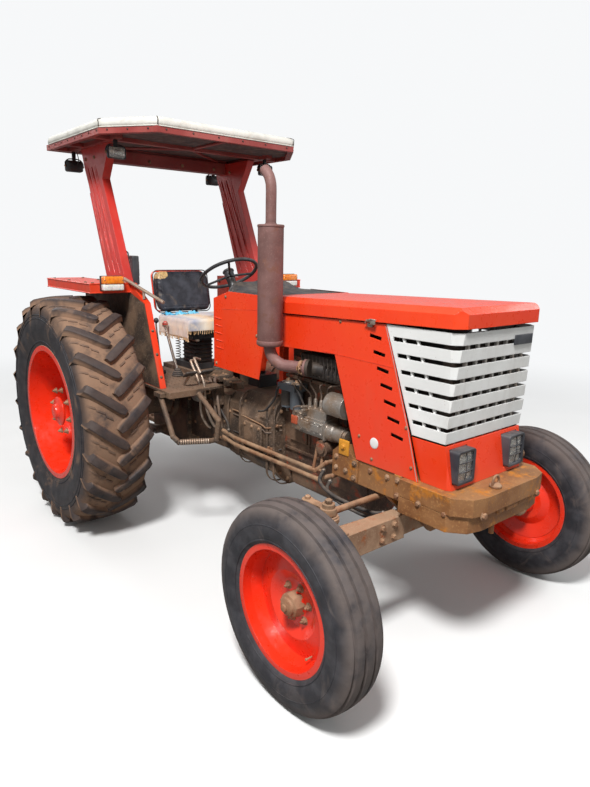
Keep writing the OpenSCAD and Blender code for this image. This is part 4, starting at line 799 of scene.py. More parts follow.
def wall_rings(form, side, wheel, rings, swell, count, shade):
    """Half-round rings on both walls; each row gives a ring's radius, its distance outwards and its half width."""
    a, b = circle(count)[None], np.linspace(0, math.pi, 5)[:, None]
    faces = grid(5, count, around=True)
    for at, out, wide in rings:
        for half in (1, -1):
            ring = wheel_points(side, *wheel, a, half * (out - 1 + swell * np.sin(b)), at + wide * np.cos(b))
            form.add(ring, faces if side * half < 0 else faces[:, ::-1], 0, shade)


class TRACTOR_OT_rear_tyres(bpy.types.Operator):
    """Rear tyres with two opposed sets of lugs, wear bars and rings on the wall"""

    bl_idname = "tractor.rear_tyres"
    bl_label = "Rear tyres"

    def execute(self, context):
        sizes = context.scene.tractor_tyres
        for side, name in ((-1, "right"), (1, "left")):
            form = Form()
            shades = ((430, 560, 650, 705, 735, 790), (0.10, 0.02, 0.05, 0.35, 0.85, 1.0))
            carcass(form, side, REAR_SECTION, (433, 177), 160, shades)
            lugs(form, side, sizes)
            wear_bars(form, side, sizes)
            wall_rings(form, side, REAR_WHEEL, ((486, 197.5, 5), (640, 214.5, 4), (664, 212, 3)), 3.4, 120, 0.0)
            piece = form.make(f"rear_tyre_tread_{name}", f"rear_wheel_{name}", "wall", "tyre_rubber", smooth=32)
            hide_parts(f"rear_tyre_{name}")
        return {"FINISHED"}


class TRACTOR_OT_front_tyres(bpy.types.Operator):
    """Front tyres with ribs that run round the tread"""

    bl_idname = "tractor.front_tyres"
    bl_label = "Front tyres"

    def execute(self, context):
        depth = context.scene.tractor_tyres.ribs_depth
        r = FRONT_R
        # Half section: middle rib, groove, side rib, shoulder step, wall
        outer = [(0, r), (17, r - 0.5), (20, r - depth), (32, r - depth - 1), (35, r - 2), (58, r - 6), (63, r - 8),
            (66, r - 20), (73, r - 23), (77, r - 16), (84, r - 22), (92, r - 40), (99, r - 66), (103.5, r - 96),
            (103, r - 118), (98, r - 140), (91, r - 156), (86, r - 163)]
        half = np.array(outer, float)
        lateral = np.concatenate([half[:, 0], [68, -68], -half[:0:-1, 0]])
        radius = np.concatenate([half[:, 1], [r - 185, r - 185], half[:0:-1, 1]])
        shade = np.interp(radius, (r - 170, r - 130, r - 60, r - 24, r), (0.15, 0.05, 0.12, 0.75, 0.62))
        a = circle(144)
        for side, name in ((-1, "right"), (1, "left")):
            form = Form()
            wave = 1.6 * np.sin(a * 36)[None] * (np.abs(np.abs(lateral) - 27) < 9)[:, None]
            points = wheel_points(side, *FRONT_WHEEL, a[None], lateral[:, None] + wave, radius[:, None])
            faces = grid(len(radius), 144, around=True, along=True)
            form.add(points, faces if side > 0 else faces[:, ::-1], 0, np.repeat(shade, 144))
            wall_rings(form, side, FRONT_WHEEL, ((r - 150, 95.6, 3.2), (r - 84, 101.8, 3.2)), 2.6, 144, 0.05)
            piece = form.make(f"front_tyre_tread_{name}", f"front_wheel_{name}", "front_wall", "tyre_rubber",
                smooth=38)
            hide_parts(f"front_tyre_{name}")
        return {"FINISHED"}


# ---------- Wheel fittings ----------


def flange_edges(form, side, wheel, lateral, wide, radius, high, count):
    """Rubbed edges along the outer and inner flange: a small ellipse carried round the rim."""
    b, c = circle(8)[:, None], circle(count)[None]
    rows = grid(8, count, around=True, along=True)
    for out in (1, -1):
        lip = wheel_points(side, *wheel, c, out * lateral + wide * np.cos(b), radius + high * np.sin(b))
        form.add(lip, rows[:, ::-1] if side > 0 else rows, 0)


def wheel_nuts(form, side, wheel, lateral, radius, count, start, head, stud, turn):
    """A circle of nuts, each with the end of its stud standing out of it."""
    _, x, r = wheel
    a = circle(count) + start
    ring = np.stack([x + radius * np.sin(a), np.full(count, side * lateral), r + radius * np.cos(a)], -1)
    out = np.array((0.0, side, 0.0))
    form.add(*copies(bolt(head, head, True, out, turn), ring), 1)
    points, faces = capped([(stud, 0), (stud, head + 10), (stud - 2, head + 12)], 10)
    form.add(*copies((placed(points, (0, 0, 0), out), faces), ring), 1)


class TRACTOR_OT_wheel_fittings(bpy.types.Operator):
    """Nuts, hub caps, valves and rubbed flange edges of the four wheels"""

    bl_idname = "tractor.wheel_fittings"
    bl_label = "Wheel fittings"

    def execute(self, context):
        for side, name in ((-1, "right"), (1, "left")):
            out = np.array((0.0, side, 0.0))
            rear = Form()
            disc = TRACK + 149 - 46
            wheel_nuts(rear, side, REAR_WHEEL, disc + 2, 152, 8, 0.2, 15, 7, 0.3)
            flange_edges(rear, side, REAR_WHEEL, 192.4 - 4, 3.4, 455.6, 2.6, 120)
            hub = [(96, 0), (100, 3), (100, 12), (92, 17), (60, 20), (52, 26), (46, 44), (30, 50)]
            rear.lathe(2, hub, 32, (0, side * (disc + 13), REAR_R), out)
            spot = (388 * math.sin(0.15), side * (TRACK + 132), REAR_R + 388 * math.cos(0.15))
            rear.lathe(1, [(4, 0), (4, 34), (6, 34), (6, 42), (4, 44)], 10, spot, (0, side, 0.15))
            rear.make(f"rear_wheel_fittings_{name}", f"rear_wheel_{name}", "rim_edge rust rim", "rusty_steel")

            front = Form()
            face = FRONT_TRACK + 83 - 95
            wheel_nuts(front, side, FRONT_WHEEL, face - 4, 80, 6, 0.3, 13, 6, 0.1)
            # Hub cap: eight-sided skirt, round crown and a small nose
            cap, faces = turned([(57, 0), (57, 30), (52, 44), (38, 52)], 8)
            front.add(placed(cap, (WHEELBASE, side * (face - 4), FRONT_R), out, 0.2), faces, 1)
            nose = [(40, 0), (38, 10), (28, 17), (17, 20), (16, 27), (10, 31)]
            front.lathe(1, nose, 24, (WHEELBASE, side * (face + 44), FRONT_R), out)
            flange_edges(front, side, FRONT_WHEEL, 83.3 - 3, 2.8, 279.6, 2.2, 108)
            spot = (WHEELBASE + 222 * math.sin(2.6), side * (face + 6), FRONT_R + 222 * math.cos(2.6))
            front.lathe(1, [(4, 0), (4, 26), (6, 26), (6, 33), (4, 35)], 10, spot, (0, side, 0))
            front.make(f"front_wheel_fittings_{name}", f"front_wheel_{name}", "rim_edge rust", "rusty_steel")
        return {"FINISHED"}


# ---------- Hood, panels, grille and lamps ----------

HOOD_FRONT, HOOD_TOP, HOOD_TILT = 2700.0, 1678.0, math.radians(1.6)


def hood_drop(x):
    """How far the tilted hood lies below its front end at X."""
    return (HOOD_FRONT - np.asarray(x, float)) * math.tan(HOOD_TILT)


class TRACTOR_OT_hood_fittings(bpy.types.Operator):
    """Catches, seams, the round mark and small bolts of the hood and its side panels"""

    bl_idname = "tractor.hood_fittings"
    bl_label = "Hood fittings"

    def execute(self, context):
        catch = Form()
        x, z = 2199, HOOD_TOP - 27 - 60 - float(hood_drop(2199)) + 4
        shape = soft_block((x - 24, -326, z - 7), (x + 26, -317, z + 5), 3)
        catch.add(*shape)
        catch.block(0, (x + 8, -331, z - 16), (x + 40, -324, z + 9), 3)
        catch.tube(0, smoothed([(x - 30, -322, z - 12), (x - 6, -332, z + 2), (x + 18, -333, z + 9),
            (x + 44, -327, z + 6)], 5), 3.2, 8)
        catch.block(0, (x - 18, -318, z - 30), (x + 12, -306.4, z - 12), 2)
        catch.mirrored().make("hood_catches", "hood", "bright", "pump_metal")

        marks = Form()
        # Round mark on each side panel, a low dome
        marks.lathe(0, [(27, 0), (27, 1.2), (22, 2.2), (10, 2.8)], 40, (2251, -306, 998), (0, -1, 0))
        # Pale seam between panel and nose, a thin strip along the sloping edge
        a, b = np.array((2458, -306.6, 1090.0)), np.array((2521, -306.6, 886.0))
        seam = np.array([a + (0, -0.6, 0), b + (0, -0.6, 0)])
        marks.tube(1, np.linspace(seam[0], seam[1], 12), 1.6, 6)
        a = np.array((2286, -306.6, 1566.0))
        marks.tube(1, np.linspace(a, (2458, -306.6, 1092.0), 16), 1.4, 6)
        # Pressed joint across the panel below the slots' first rows
        marks.tube(2, np.linspace((1870, -306.4, 1392), (2348, -306.4, 1382), 14), 1.5, 6)
        marks.mirrored()
        for x, z in ((1455, 1548), (1455, 1392), (1990, 1556), (2440, 1120), (2482, 940), (2240, 915), (2150, 1010)):
            bolts(marks, [(x, -306, z)], (0, -1, 0), 6, 4, 3)
            bolts(marks, [(x, 306, z)], (0, 1, 0), 6, 4, 3)
        marks.make("panel_marks", "chassis", "grille spacer orange rust", "body_paint")

        lines = Form()
        # Pressed lines at the rear edge of the cowl, a crease and small bolts
        for k in range(5):
            z = 1470 - 46 * k
            lines.tube(0, np.linspace((884, -332, z + 6), (964 + 6 * k, -332, z), 8),
                np.array([1, 3, 3.6, 3.6, 3.6, 3.6, 3, 1.0]), 8)
        lines.tube(0, np.linspace((960, -332, 1532), (1376, -332, 1560), 12), 1.4, 6)
        lines.mirrored()
        for side in (-1, 1):
            bolts(lines, [(1010, side * 332, 1610), (900, side * 332, 1188), (1330, side * 332, 1410),
                (1368, side * 332, 1600)], (0, side, 0), 7, 4, 1)
        lines.make("cowl_lines", "chassis", "orange rust", "body_paint")
        return {"FINISHED"}


GRILLE_WAIST, GRILLE_TOP = 1090, 1573.5


def grille_front(z):
    """X of the grille's front face at a height, between its waist and its top."""
    return 2648 + (2686 - 2648) * (z - GRILLE_WAIST) / (GRILLE_TOP - GRILLE_WAIST)


class TRACTOR_OT_grille_fittings(bpy.types.Operator):
    """Spacers between the grille's bars, the dark screen behind them and the bare plate place"""

    bl_idname = "tractor.grille_fittings"
    bl_label = "Grille fittings"

    def execute(self, context):
        form = Form()
        pitch = (GRILLE_TOP - GRILLE_WAIST + 20) / 7
        for i in range(7):
            # Grey fronts of the posts that hold the bars apart, in the gaps and in the shadow gap over the nose
            low, high = (GRILLE_WAIST + i * pitch - 19, GRILLE_WAIST + i * pitch) if i else (1082, 1089.6)
            x = float(grille_front(low)) - 8
            for y in (-216, -144, -72, 0, 72, 144, 216):
                form.block(0, (x - 15, y - 7, low), (x + 1.2, y + 7, high), 1.5)
        # Screen behind the bars: a fine wavy sheet that follows the front and both sides
        u, v = np.linspace(-1, 1, 90), np.linspace(0, 1, 40)
        z = 1096 + v[:, None] * 470
        x = grille_front(z) - 52 + 0 * u[None]
        y = 262 * u[None] + 0 * z
        x = x - 46 * np.clip((np.abs(u)[None] - 0.86) / 0.14, 0, 1) ** 2 + 1.6 * np.sin(v[:, None] * 260) * np.sin(
            u[None] * 140)
        form.add(np.stack([x, y, z + 0 * u[None]], -1), grid(40, 90), 1)
        plate = soft_block((2681, 116, 1494), (2689.5, 262, 1540), 2)
        form.add(plate[0] + (-2.0, 0, 0), plate[1], 2)
        form.make("grille_spacers", "chassis", "spacer dark bezel", "grille_paint")
        return {"FINISHED"}


def lamp_dish(width, height, depth, rows=10, columns=28):
    """A shallow reflector: superellipse rings whose depth follows a parabola, opening along Z."""
    a = circle(columns)
    q = np.linspace(1, 0.02, rows)[:, None]
    x = width * q * np.sign(np.cos(a)) * np.abs(np.cos(a)) ** 0.35
    y = height * q * np.sign(np.sin(a)) * np.abs(np.sin(a)) ** 0.35
    return np.stack([x, y, depth * (q**2 - 1) + 0 * a], -1).reshape(-1, 3), grid(rows, columns, around=True)


class TRACTOR_OT_headlamps(bpy.types.Operator):
    """Headlamps: thick rounded bezel, reflector, ribbed glass and two guard bars"""

    bl_idname = "tractor.headlamps"
    bl_label = "Headlamps"

    def execute(self, context):
        form = Form()
        for y in (-200, 200):
            # Bezel: a rounded frame with a lip that slopes in to the glass
            outer = rounded_loop(65, 78, 16)
            rings = [(1.0, 1.0, -96), (1.0, 1.0, -4), (0.985, 0.985, 1.5), (0.93, 0.94, 2), (0.80, 0.84, -1.5),
                (0.78, 0.82, -14)]
            points = np.concatenate([np.column_stack([outer * (a, b), np.full(len(outer), c)]) for a, b, c in rings])
            form.add(placed(points, (HOOD_FRONT, y, 986), (1, 0, 0)), grid(len(rings), len(outer), around=True), 0)
            back = np.concatenate([points[: len(outer)], [[0, 0, -96]]])
            form.add(placed(back, (HOOD_FRONT, y, 986), (1, 0, 0)), fan(0, len(outer), len(outer), True), 0)
            dish, faces = lamp_dish(51, 64, 46)
            form.add(placed(dish, (HOOD_FRONT - 16, y, 986), (1, 0, 0)), faces, 1)
            form.lathe(3, [(8, 0), (9, 8), (6, 16), (2, 20)], 14, (HOOD_FRONT - 58, y, 996), (1, 0, 0))
            # Glass: a slightly bulged plate with both faces
            u, v = np.meshgrid(np.linspace(-1, 1, 15), np.linspace(-1, 1, 17))
            bulge = 3.0 * (1 - u**2) * (1 - v**2)
            front = np.stack([HOOD_FRONT - 8 + bulge, y + 51 * u, 986 + 64 * v], -1)
            rear = front - (3, 0, 0)
            form.add(front, grid(17, 15), 2)
            form.add(rear, grid(17, 15)[:, ::-1], 2)
            for z in (964, 1006):
                bar = smoothed([(HOOD_FRONT - 6, y - 56, z), (HOOD_FRONT - 1.5, y - 30, z + 0.5),
                    (HOOD_FRONT - 1, y, z + 1), (HOOD_FRONT - 1.5, y + 30, z + 0.5), (HOOD_FRONT - 6, y + 56, z)], 5)
                form.tube(0, bar, 2.6, 8)
            form.tube(0, smoothed([(HOOD_FRONT - 6, y + 4, 924), (HOOD_FRONT - 1.5, y + 4, 960),
                (HOOD_FRONT - 1.5, y + 4, 1010), (HOOD_FRONT - 6, y + 4, 1048)], 5), 2.2, 8)
        piece = form.make("headlamp_units", "chassis", "bezel reflector lens clear", "black_plastic")
        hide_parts("headlamps")
        return {"FINISHED"}


class TRACTOR_OT_work_lamps(bpy.types.Operator):
    """Work lamps under the roof: rounded shells on brackets with reflectors and ribbed glass"""

    bl_idname = "tractor.work_lamps"
    bl_label = "Work lamps"

    def execute(self, context):
        form = Form()
        for x, y, z, depth, facing in ((140, -605.7, 2490, 44, 1), (140, 605.7, 2490, 44, 1),
            (-600, -605.7, 2470, 60, -1), (-600, 605.7, 2470, 60, -1)):
            loop = rounded_loop(62, 40, 14)
            half = depth / 2
            rings = [(0.55, 0.5, -half), (0.84, 0.82, -half + 6), (0.97, 0.96, -half + 16), (1, 1, half - 5),
                (0.98, 0.97, half - 1), (0.90, 0.86, half), (0.87, 0.82, half - 5)]
            points = np.concatenate([np.column_stack([loop * (a, b), np.full(len(loop), c)]) for a, b, c in rings])
            n = len(loop)
            points = np.concatenate([points, [[0, 0, -half]]])
            faces = [grid(len(rings), n, around=True), fan(0, n, n * len(rings), True)]
            form.add(placed(points, (x, y, z), (facing, 0, 0)), faces, 0)
            dish, faces = lamp_dish(54, 33, 26)
            form.add(placed(dish, (x + facing * (half - 6), y, z), (facing, 0, 0)), faces, 1)
            u, v = np.meshgrid(np.linspace(-1, 1, 13), np.linspace(-1, 1, 11))
            front = np.stack([x + facing * (half - 3 + 1.6 * (1 - u**2) * (1 - v**2)), y + 54 * u, z + 33 * v], -1)
            rows = grid(11, 13)
            rows = rows if facing > 0 else rows[:, ::-1]
            form.add(front, rows, 2)
            form.add(front - (facing * 2.5, 0, 0), rows[:, ::-1], 2)
            # Bracket: a strap round the back and a neck up to the roof's rib
            strap = smoothed([(x, y - 64, z), (x, y - 66, z + 22), (x, y - 44, z + 46), (x, y, z + 50),
                (x, y + 44, z + 46), (x, y + 66, z + 22), (x, y + 64, z)], 5)
            form.tube(0, strap, 4.2, 8)
            form.block(0, (x - 9, y - 13, z + 40), (x + 9, y + 13, 2571), 3)
            bolts(form, [(x, y - 66, z)], (0, -1, 0), 7, 5, 3)
            bolts(form, [(x, y + 66, z)], (0, 1, 0), 7, 5, 3)
            form.tube(4, smoothed([(x - facing * half, y + 10, z + 6), (x - facing * (half + 18), y + 14, z + 26),
                (x - facing * (half + 10), y + 18, z + 60), (x - facing * 12, y + 18, 2570)], 6), 3.2, 8)
        piece = form.make("work_lamp_units", "chassis", "satin reflector lens rust hosing", "black_paint")
        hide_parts("work_lamps")
        return {"FINISHED"}


class TRACTOR_OT_indicators(bpy.types.Operator):
    """Indicators on the fenders: black foot, amber half to the front, pale half below it"""

    bl_idname = "tractor.indicators"
    bl_label = "Indicators"

    def execute(self, context):
        form = Form()
        for side in (-1, 1):
            y0, y1 = sorted((side * 664, side * 814))
            form.block(0, (270.3, y0, 1612), (277, y1, 1709), 3)
            form.block(2, (276, y0 + 3, 1615), (324, y1 - 3, 1656), 8, 14)
            form.block(1, (276, y0 + 3, 1657), (327, y1 - 3, 1706), 9, 16)
            bolts(form, [(326, y0 + 14, 1680), (326, y1 - 14, 1680)], (1, 0, 0), 4, 1, 0, False)
        piece = form.make("indicator_lamps", "chassis", "black amber clear", "lens")
        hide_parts("indicators")
        return {"FINISHED"}


# ---------- Roof, posts and fenders ----------

ROOF = dict(half=764, front=580, rear=-704, cut=322, cut_y=232, low=2610.3, edge=58, rise=20)


def roof_loop(inset, radius, steps=7, count=40):
    """The roof's outline with its two front corners cut, drawn in by an inset, and every corner rounded by an arc."""
    h, f, r = ROOF["half"] - inset, ROOF["front"] - inset, ROOF["rear"] + inset
    k = inset * 0.42
    corners = np.array([(f, -h + ROOF["cut_y"] - k), (f, h - ROOF["cut_y"] + k), (f - ROOF["cut"] + k, h), (r, h),
        (r, -h), (f - ROOF["cut"] + k, -h)], float)
    n = len(corners)
    points = []
    for i in range(n):
        a, b, c = corners[i - 1], corners[i], corners[(i + 1) % n]
        u, v = (a - b) / np.linalg.norm(a - b), (c - b) / np.linalg.norm(c - b)
        half = math.acos(float(np.clip(u @ v, -1, 1))) / 2
        reach = radius / math.tan(half)
        t = np.linspace(0, 1, steps)[:, None]
        p0, p1 = b + u * reach, b + v * reach
        arc = (1 - t) ** 2 * p0 + 2 * t * (1 - t) * b + t**2 * p1
        points.append(arc)
    ring = np.concatenate(points)
    lengths = np.linalg.norm(np.roll(ring, -1, 0) - ring, axis=1)
    at = np.concatenate([[0], np.cumsum(lengths)])
    want = np.linspace(0, at[-1], count * n, endpoint=False)
    closed = np.concatenate([ring, ring[:1]])
    return np.stack([np.interp(want, at, closed[:, 0]), np.interp(want, at, closed[:, 1])], -1)


class TRACTOR_OT_roof(bpy.types.Operator):
    """Roof pad: rounded edge, low crown, seams with a welt at the front corners, and a row of rivets"""

    bl_idname = "tractor.roof"
    bl_label = "Roof"

    def execute(self, context):
        form = Form()
        low, edge, rise = ROOF["low"], ROOF["edge"], ROOF["rise"]
        rings = []
        a = np.linspace(0, math.pi / 2, 8)
        for inset, z in [(16, low), (2, low + 2), (-4, low + 8), (-6, low + 18)]:
            rings.append((inset, z, 70))
        for t in a[1:]:
            rings.append((-6 + 34 * (1 - math.cos(t)), low + 24 + (edge - 26) * math.sin(t), 74))
        for q in np.linspace(0.08, 0.97, 16):
            inset = 28 + q * 660
            rings.append((inset, low + edge - 2 + rise * (1 - (1 - q) ** 2.2), max(70 - inset * 0.1, 6)))
        loops, shades = [], []
        for inset, z, radius in rings:
            loop = roof_loop(inset, radius)
            loops.append(np.column_stack([loop, np.full(len(loop), z)]))
        n = len(loops[0])
        loops = np.array(loops)
        # Brown stains close to the two seams that come down over the front corners
        for i in range(len(loops)):
            x, y = loops[i][:, 0], loops[i][:, 1]
            seam = np.minimum(np.hypot(x - (ROOF["front"] - 30), np.abs(y) - 520),
                np.hypot(x - (ROOF["front"] - ROOF["cut"]), np.abs(y) - 752))
            shades.append(0.40 * np.exp(-((seam / 34) ** 2)) * (loops[i][:, 2] < low + edge + 6) + 0.28 * (
                loops[i][:, 2] < low + 12))
            soften = 2.2 * np.sin(x / 90.0) * np.sin(y / 75.0) * np.clip((loops[i][:, 2] - low - edge + 6) / 12, 0, 1)
            loops[i][:, 2] += soften
        mid = np.array([[loops[-1][:, 0].mean(), 0, loops[-1][:, 2].mean() + 0.4], [loops[0][:, 0].mean(), 0, low]])
        points = np.concatenate([loops.reshape(-1, 3), mid])
        last = n * (len(loops) - 1)
        shade = np.concatenate([np.concatenate(shades), [0, 0]])
        form.add(points, [grid(len(loops), n, around=True), fan(last, n, n * len(loops)),
            fan(0, n, n * len(loops) + 1, True)], 0, shade)
        roof = form.make("roof_cushion", "chassis", "roof", "roof_pad", smooth=60)
        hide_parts("canopy_pad")

        trim = Form()
        # Welts over the front corners, and a cord round the pad's lower edge
        for side in (-1, 1):
            for x, y in ((ROOF["front"] + 2, 528), (ROOF["front"] - ROOF["cut"] + 4, 766)):
                out = np.array((x, side * y, low + 6.0))
                inn = np.array((x - 60 if y < 600 else x - 20, side * (y - 26 if y < 600 else y - 62), low + edge))
                path = smoothed([out, out + (3, side * 1, 22), out + (0, 0, 40),
                    inn + (26 if y < 600 else 8, side * 14, -1), inn + (0, 0, 2.5),
                    inn + (-90 if y < 600 else -50, -side * 40, 6)], 5)
                trim.tube(1, path, np.linspace(3.0, 1.6, len(path)), 8)
        loop = roof_loop(-1, 72)
        ring = np.column_stack([loop, np.full(len(loop), low + 1.0)])
        trim.add(*pipe(np.concatenate([ring, ring[:1]]), 4.0, 8, False), 0, 0.3)
        # Rivets along the two sides, the front and the rear of the rail
        stud, faces = capped([(6, 0), (6, 2), (4, 4), (1.5, 5)], 10)
        for side in (-1, 1):
            xs = np.linspace(-650, 230, 8)
            trim.add(*copies((placed(stud, (0, 0, 0), (0, side, 0)), faces), [(x, side * 764, 2594) for x in xs]), 1)
            d = np.array((232.0, 322.0)) / math.hypot(232, 322)
            t = np.linspace(0.15, 0.85, 3)
            trim.add(*copies((placed(stud, (0, 0, 0), (d[0], side * d[1], 0)), faces),
                [(580 - 322 * q, side * (532 + 232 * q), 2594) for q in t]), 1)
        trim.add(*copies((placed(stud, (0, 0, 0), (1, 0, 0)), faces),
            [(580, y, 2594) for y in np.linspace(-470, 470, 6)]), 1)
        trim.add(*copies((placed(stud, (0, 0, 0), (-1, 0, 0)), faces),
            [(-704, y, 2594) for y in np.linspace(-690, 690, 8)]), 1)
        trim.make("roof_trim", "chassis", "roof dark", "roof_pad", smooth=50)

        under = Form()
        # Lining below the pad: a panel that sags a little between the ribs; its dark colour is painted shade under the
        # roof
        u, v = np.meshgrid(np.linspace(-1, 1, 61), np.linspace(0, 1, 61))
        x = ROOF["rear"] + 14 + v * (ROOF["front"] - ROOF["rear"] - 28)
        reach = ROOF["half"] - 14 - np.clip((x - (ROOF["front"] - ROOF["cut"])) / ROOF["cut"], 0, 1) * ROOF["cut_y"]
        y = u * reach
        sag = 5 * np.cos(u * math.pi / 2) * np.sin(v * math.pi) + 1.2 * np.sin(x / 46) * np.sin(y / 58)
        under.add(np.stack([x, y, 2598 - sag], -1), grid(61, 61)[:, ::-1], 0)
        for path in ([(520, 0, 2588), (200, 0, 2588), (60, 0, 2588)],
            [(60, 0, 2588), (-150, 240, 2588), (-330, 480, 2588)],
            [(60, 0, 2588), (-150, -240, 2588), (-330, -480, 2588)]):
            under.tube(1, smoothed(path, 4), 11, 8)
        under.make("roof_lining", "chassis", "lining roof_rail", "roof_pad")
        return {"FINISHED"}


def post_x(z, share):
    """X on a canopy post at a height: share runs from -0.5 at its rear edge to 0.5 at its front edge."""
    return np.interp(z, (1660, 2500), (30, -320)) + share * np.interp(z, (1660, 2500), (300, 255))


class TRACTOR_OT_posts(bpy.types.Operator):
    """Rolled beads beside the pressed grooves and bolts of the canopy posts, with a box at the near post's foot"""

    bl_idname = "tractor.posts"
    bl_label = "Post fittings"

    def execute(self, context):
        form = Form()
        zs = np.linspace(1700, 2452, 50)
        thin = np.clip((zs - 1700) / 220, 0.05, 1) * np.clip((2452 - zs) / 40, 0.1, 1)
        for side in (-1, 1):
            for share in (-0.385, -0.295, -0.105, -0.015, 0.175, 0.265):
                for y in (595.7, 537.7):
                    form.tube(0, np.stack([post_x(zs, share), np.full(50, side * y), zs], -1), 2.6 * thin, 6)
            # Bolts at the head and beside the fender
            for z in (2500, 1620, 1300):
                for share in (-0.3, 0.3):
                    for y, out in ((595.7 if z > 1660 else 0, side), (537.7, -side)):
                        if y:
                            bolts(form, [(float(post_x(max(z, 1660), share)), side * y, z)], (0, out, 0), 9, 6, 1)
        bolts(form, [(-310, y, 2520) for y in (-430, -140, 140, 430)], (1, 0, 0), 9, 6, 1)
        bolts(form, [(-400, y, 2520) for y in (-430, -140, 140, 430)], (-1, 0, 0), 9, 6, 1)
        form.make("post_ridges", "chassis", "post rust", "frame_paint")

        box = Form()
        # Upright box on the inner side of the near post's foot, with a cap and a cable
        box.block(0, (40, -537.4, 1640), (176, -486, 1836), 8, 12)
        box.block(1, (52, -489, 1700), (164, -482, 1800), 4, 8)
        hose(box, [(60, -512, 1834), (50, -512, 1856), (10, -526, 1880), (-30, -536, 1930)], 5, 1)
        box.make("post_box", "chassis", "black satin", "black_plastic")
        return {"FINISHED"}


class TRACTOR_OT_fenders(bpy.types.Operator):
    """Rolled edges, stays, bolts and the dusty inner panels of the fenders"""

    bl_idname = "tractor.fenders"
    bl_label = "Fender fittings"

    def execute(self, context):
        form = Form()
        # Rolled edges of the top plate and of its valance
        loop = np.array([(-540, -598), (-540, -880), (270, -880), (270, -598)], float)
        fine = np.concatenate([np.linspace(a, b, 16, endpoint=False) for a, b in zip(loop[:-1], loop[1:])] + [
            loop[-1:]])
        form.tube(0, np.column_stack([fine, np.full(len(fine), 1657.0)]), 4.2, 8)
        form.tube(0, np.column_stack([fine, np.full(len(fine), 1600.0)]), 4.0, 8)
        # Stays under the top, from the wall out to the valance
        for x in (-430, -120, 190):
            form.block(2, (x - 16, -876, 1636), (x + 16, -601, 1654), 3)
        # Beads pressed in the inner wall
        for x in (-380, -180):
            form.tube(0, np.linspace((x, -596, 1180), (x, -596, 1600), 10), 3.2, 6)
        # Caked dust on the wheel's side of the inner wall
        wall = np.array([(262, 1596), (466, 1536), (632, 1040), (643, 1008), (-58, 1008), (-298, 1092), (-536, 1092),
            (-536, 1596)], float)
        form.add(np.column_stack([wall[:, 0], np.full(8, -601.8), wall[:, 1]]), [np.arange(8)[None]], 1)
        form.mirrored()
        for side in (-1, 1):
            bolts(form, [(x, side * 596, z) for x, z in ((-500, 1610), (-500, 1160), (-320, 1180))], (0, -side, 0),
                8, 5, 1)
            bolts(form, [(x, side * 640, 1660) for x in (-470, -180, 120)] + [
                (x, side * 850, 1660) for x in (-470, -180, 120, 240)], (0, 0, 1), 8, 5, 1)
            bolts(form, [(x, side * 582, z) for x, z in ((530, 1366), (580, 1218), (628, 1076))], (0.95, 0, 0.3), 7,
                4, 1)
        form.make("fender_trim", "chassis", "fender casting satin", "body_paint")
        return {"FINISHED"}


# ---------- Seat and throw ----------


def cushion_form(low, high, crown, pull, rows=36, columns=44):
    """A stuffed block: u and v run over a sphere-like grid; the outline is a superellipse drawn in between its
    corners by pull, the
    top and bottom rise in the middle by crown, and the edge is a round roll."""
    low, high = np.asarray(low, float), np.asarray(high, float)
    mid, half = (low + high) / 2, (high - low) / 2
    a = circle(columns)
    q = np.linspace(-math.pi / 2, math.pi / 2, rows)[:, None]
    c, s = np.cos(a), np.sin(a)
    ex, ey = np.sign(c) * np.abs(c) ** 0.22, np.sign(s) * np.abs(s) ** 0.22
    inward = 1 - pull * (1 - np.abs(np.sin(2 * a))) ** 2
    ring = np.cos(q) ** 0.18
    lift = np.sign(np.sin(q)) * np.abs(np.sin(q)) ** 0.55
    x = half[0] * ex * inward * ring
    y = half[1] * ey * inward * ring
    z = (half[2] - crown * np.clip((x / half[0]) ** 2 + (y / half[1]) ** 2, 0, 1)) * lift
    points = np.stack([x, y, z], -1).reshape(-1, 3) + mid
    return points, grid(rows, columns, around=True)


def stuff(piece, voxel, cap, pressure):
    """Remeshes a cover finely, blows it up as cloth for 20 frames, and lets no point move further than the cap."""
    bpy.context.view_layer.objects.active = piece
    remesh = piece.modifiers.new("Remesh", "REMESH")
    remesh.mode, remesh.voxel_size = "VOXEL", voxel
    with bpy.context.temp_override(object=piece, active_object=piece):
        bpy.ops.object.modifier_apply(modifier="Remesh")
    count = len(piece.data.vertices)
    start = np.zeros(count * 3, np.float32)
    piece.data.vertices.foreach_get("co", start)
    cloth = piece.modifiers.new("Cloth", "CLOTH")
    cloth.settings.quality = 5
    cloth.settings.use_pressure = True
    cloth.settings.uniform_pressure_force = pressure
    cloth.settings.effector_weights.gravity = 0
    cloth.point_cache.frame_start, cloth.point_cache.frame_end = 1, 20
    scene = bpy.context.scene
    for number in range(1, 21):
        scene.frame_set(number)
    ready = piece.evaluated_get(bpy.context.evaluated_depsgraph_get())
    moved = np.zeros(count * 3, np.float32)
    ready.data.vertices.foreach_get("co", moved)
    piece.modifiers.remove(cloth)
    scene.frame_set(1)
    step = (moved - start).reshape(-1, 3)
    far = np.linalg.norm(step, axis=1, keepdims=True)
    step *= np.minimum(1.0, cap / np.maximum(far, 1e-9))
    start = (start.reshape(-1, 3) + step).reshape(-1)
    piece.data.vertices.foreach_set("co", start)
    piece.data.update()
    return start.reshape(-1, 3)


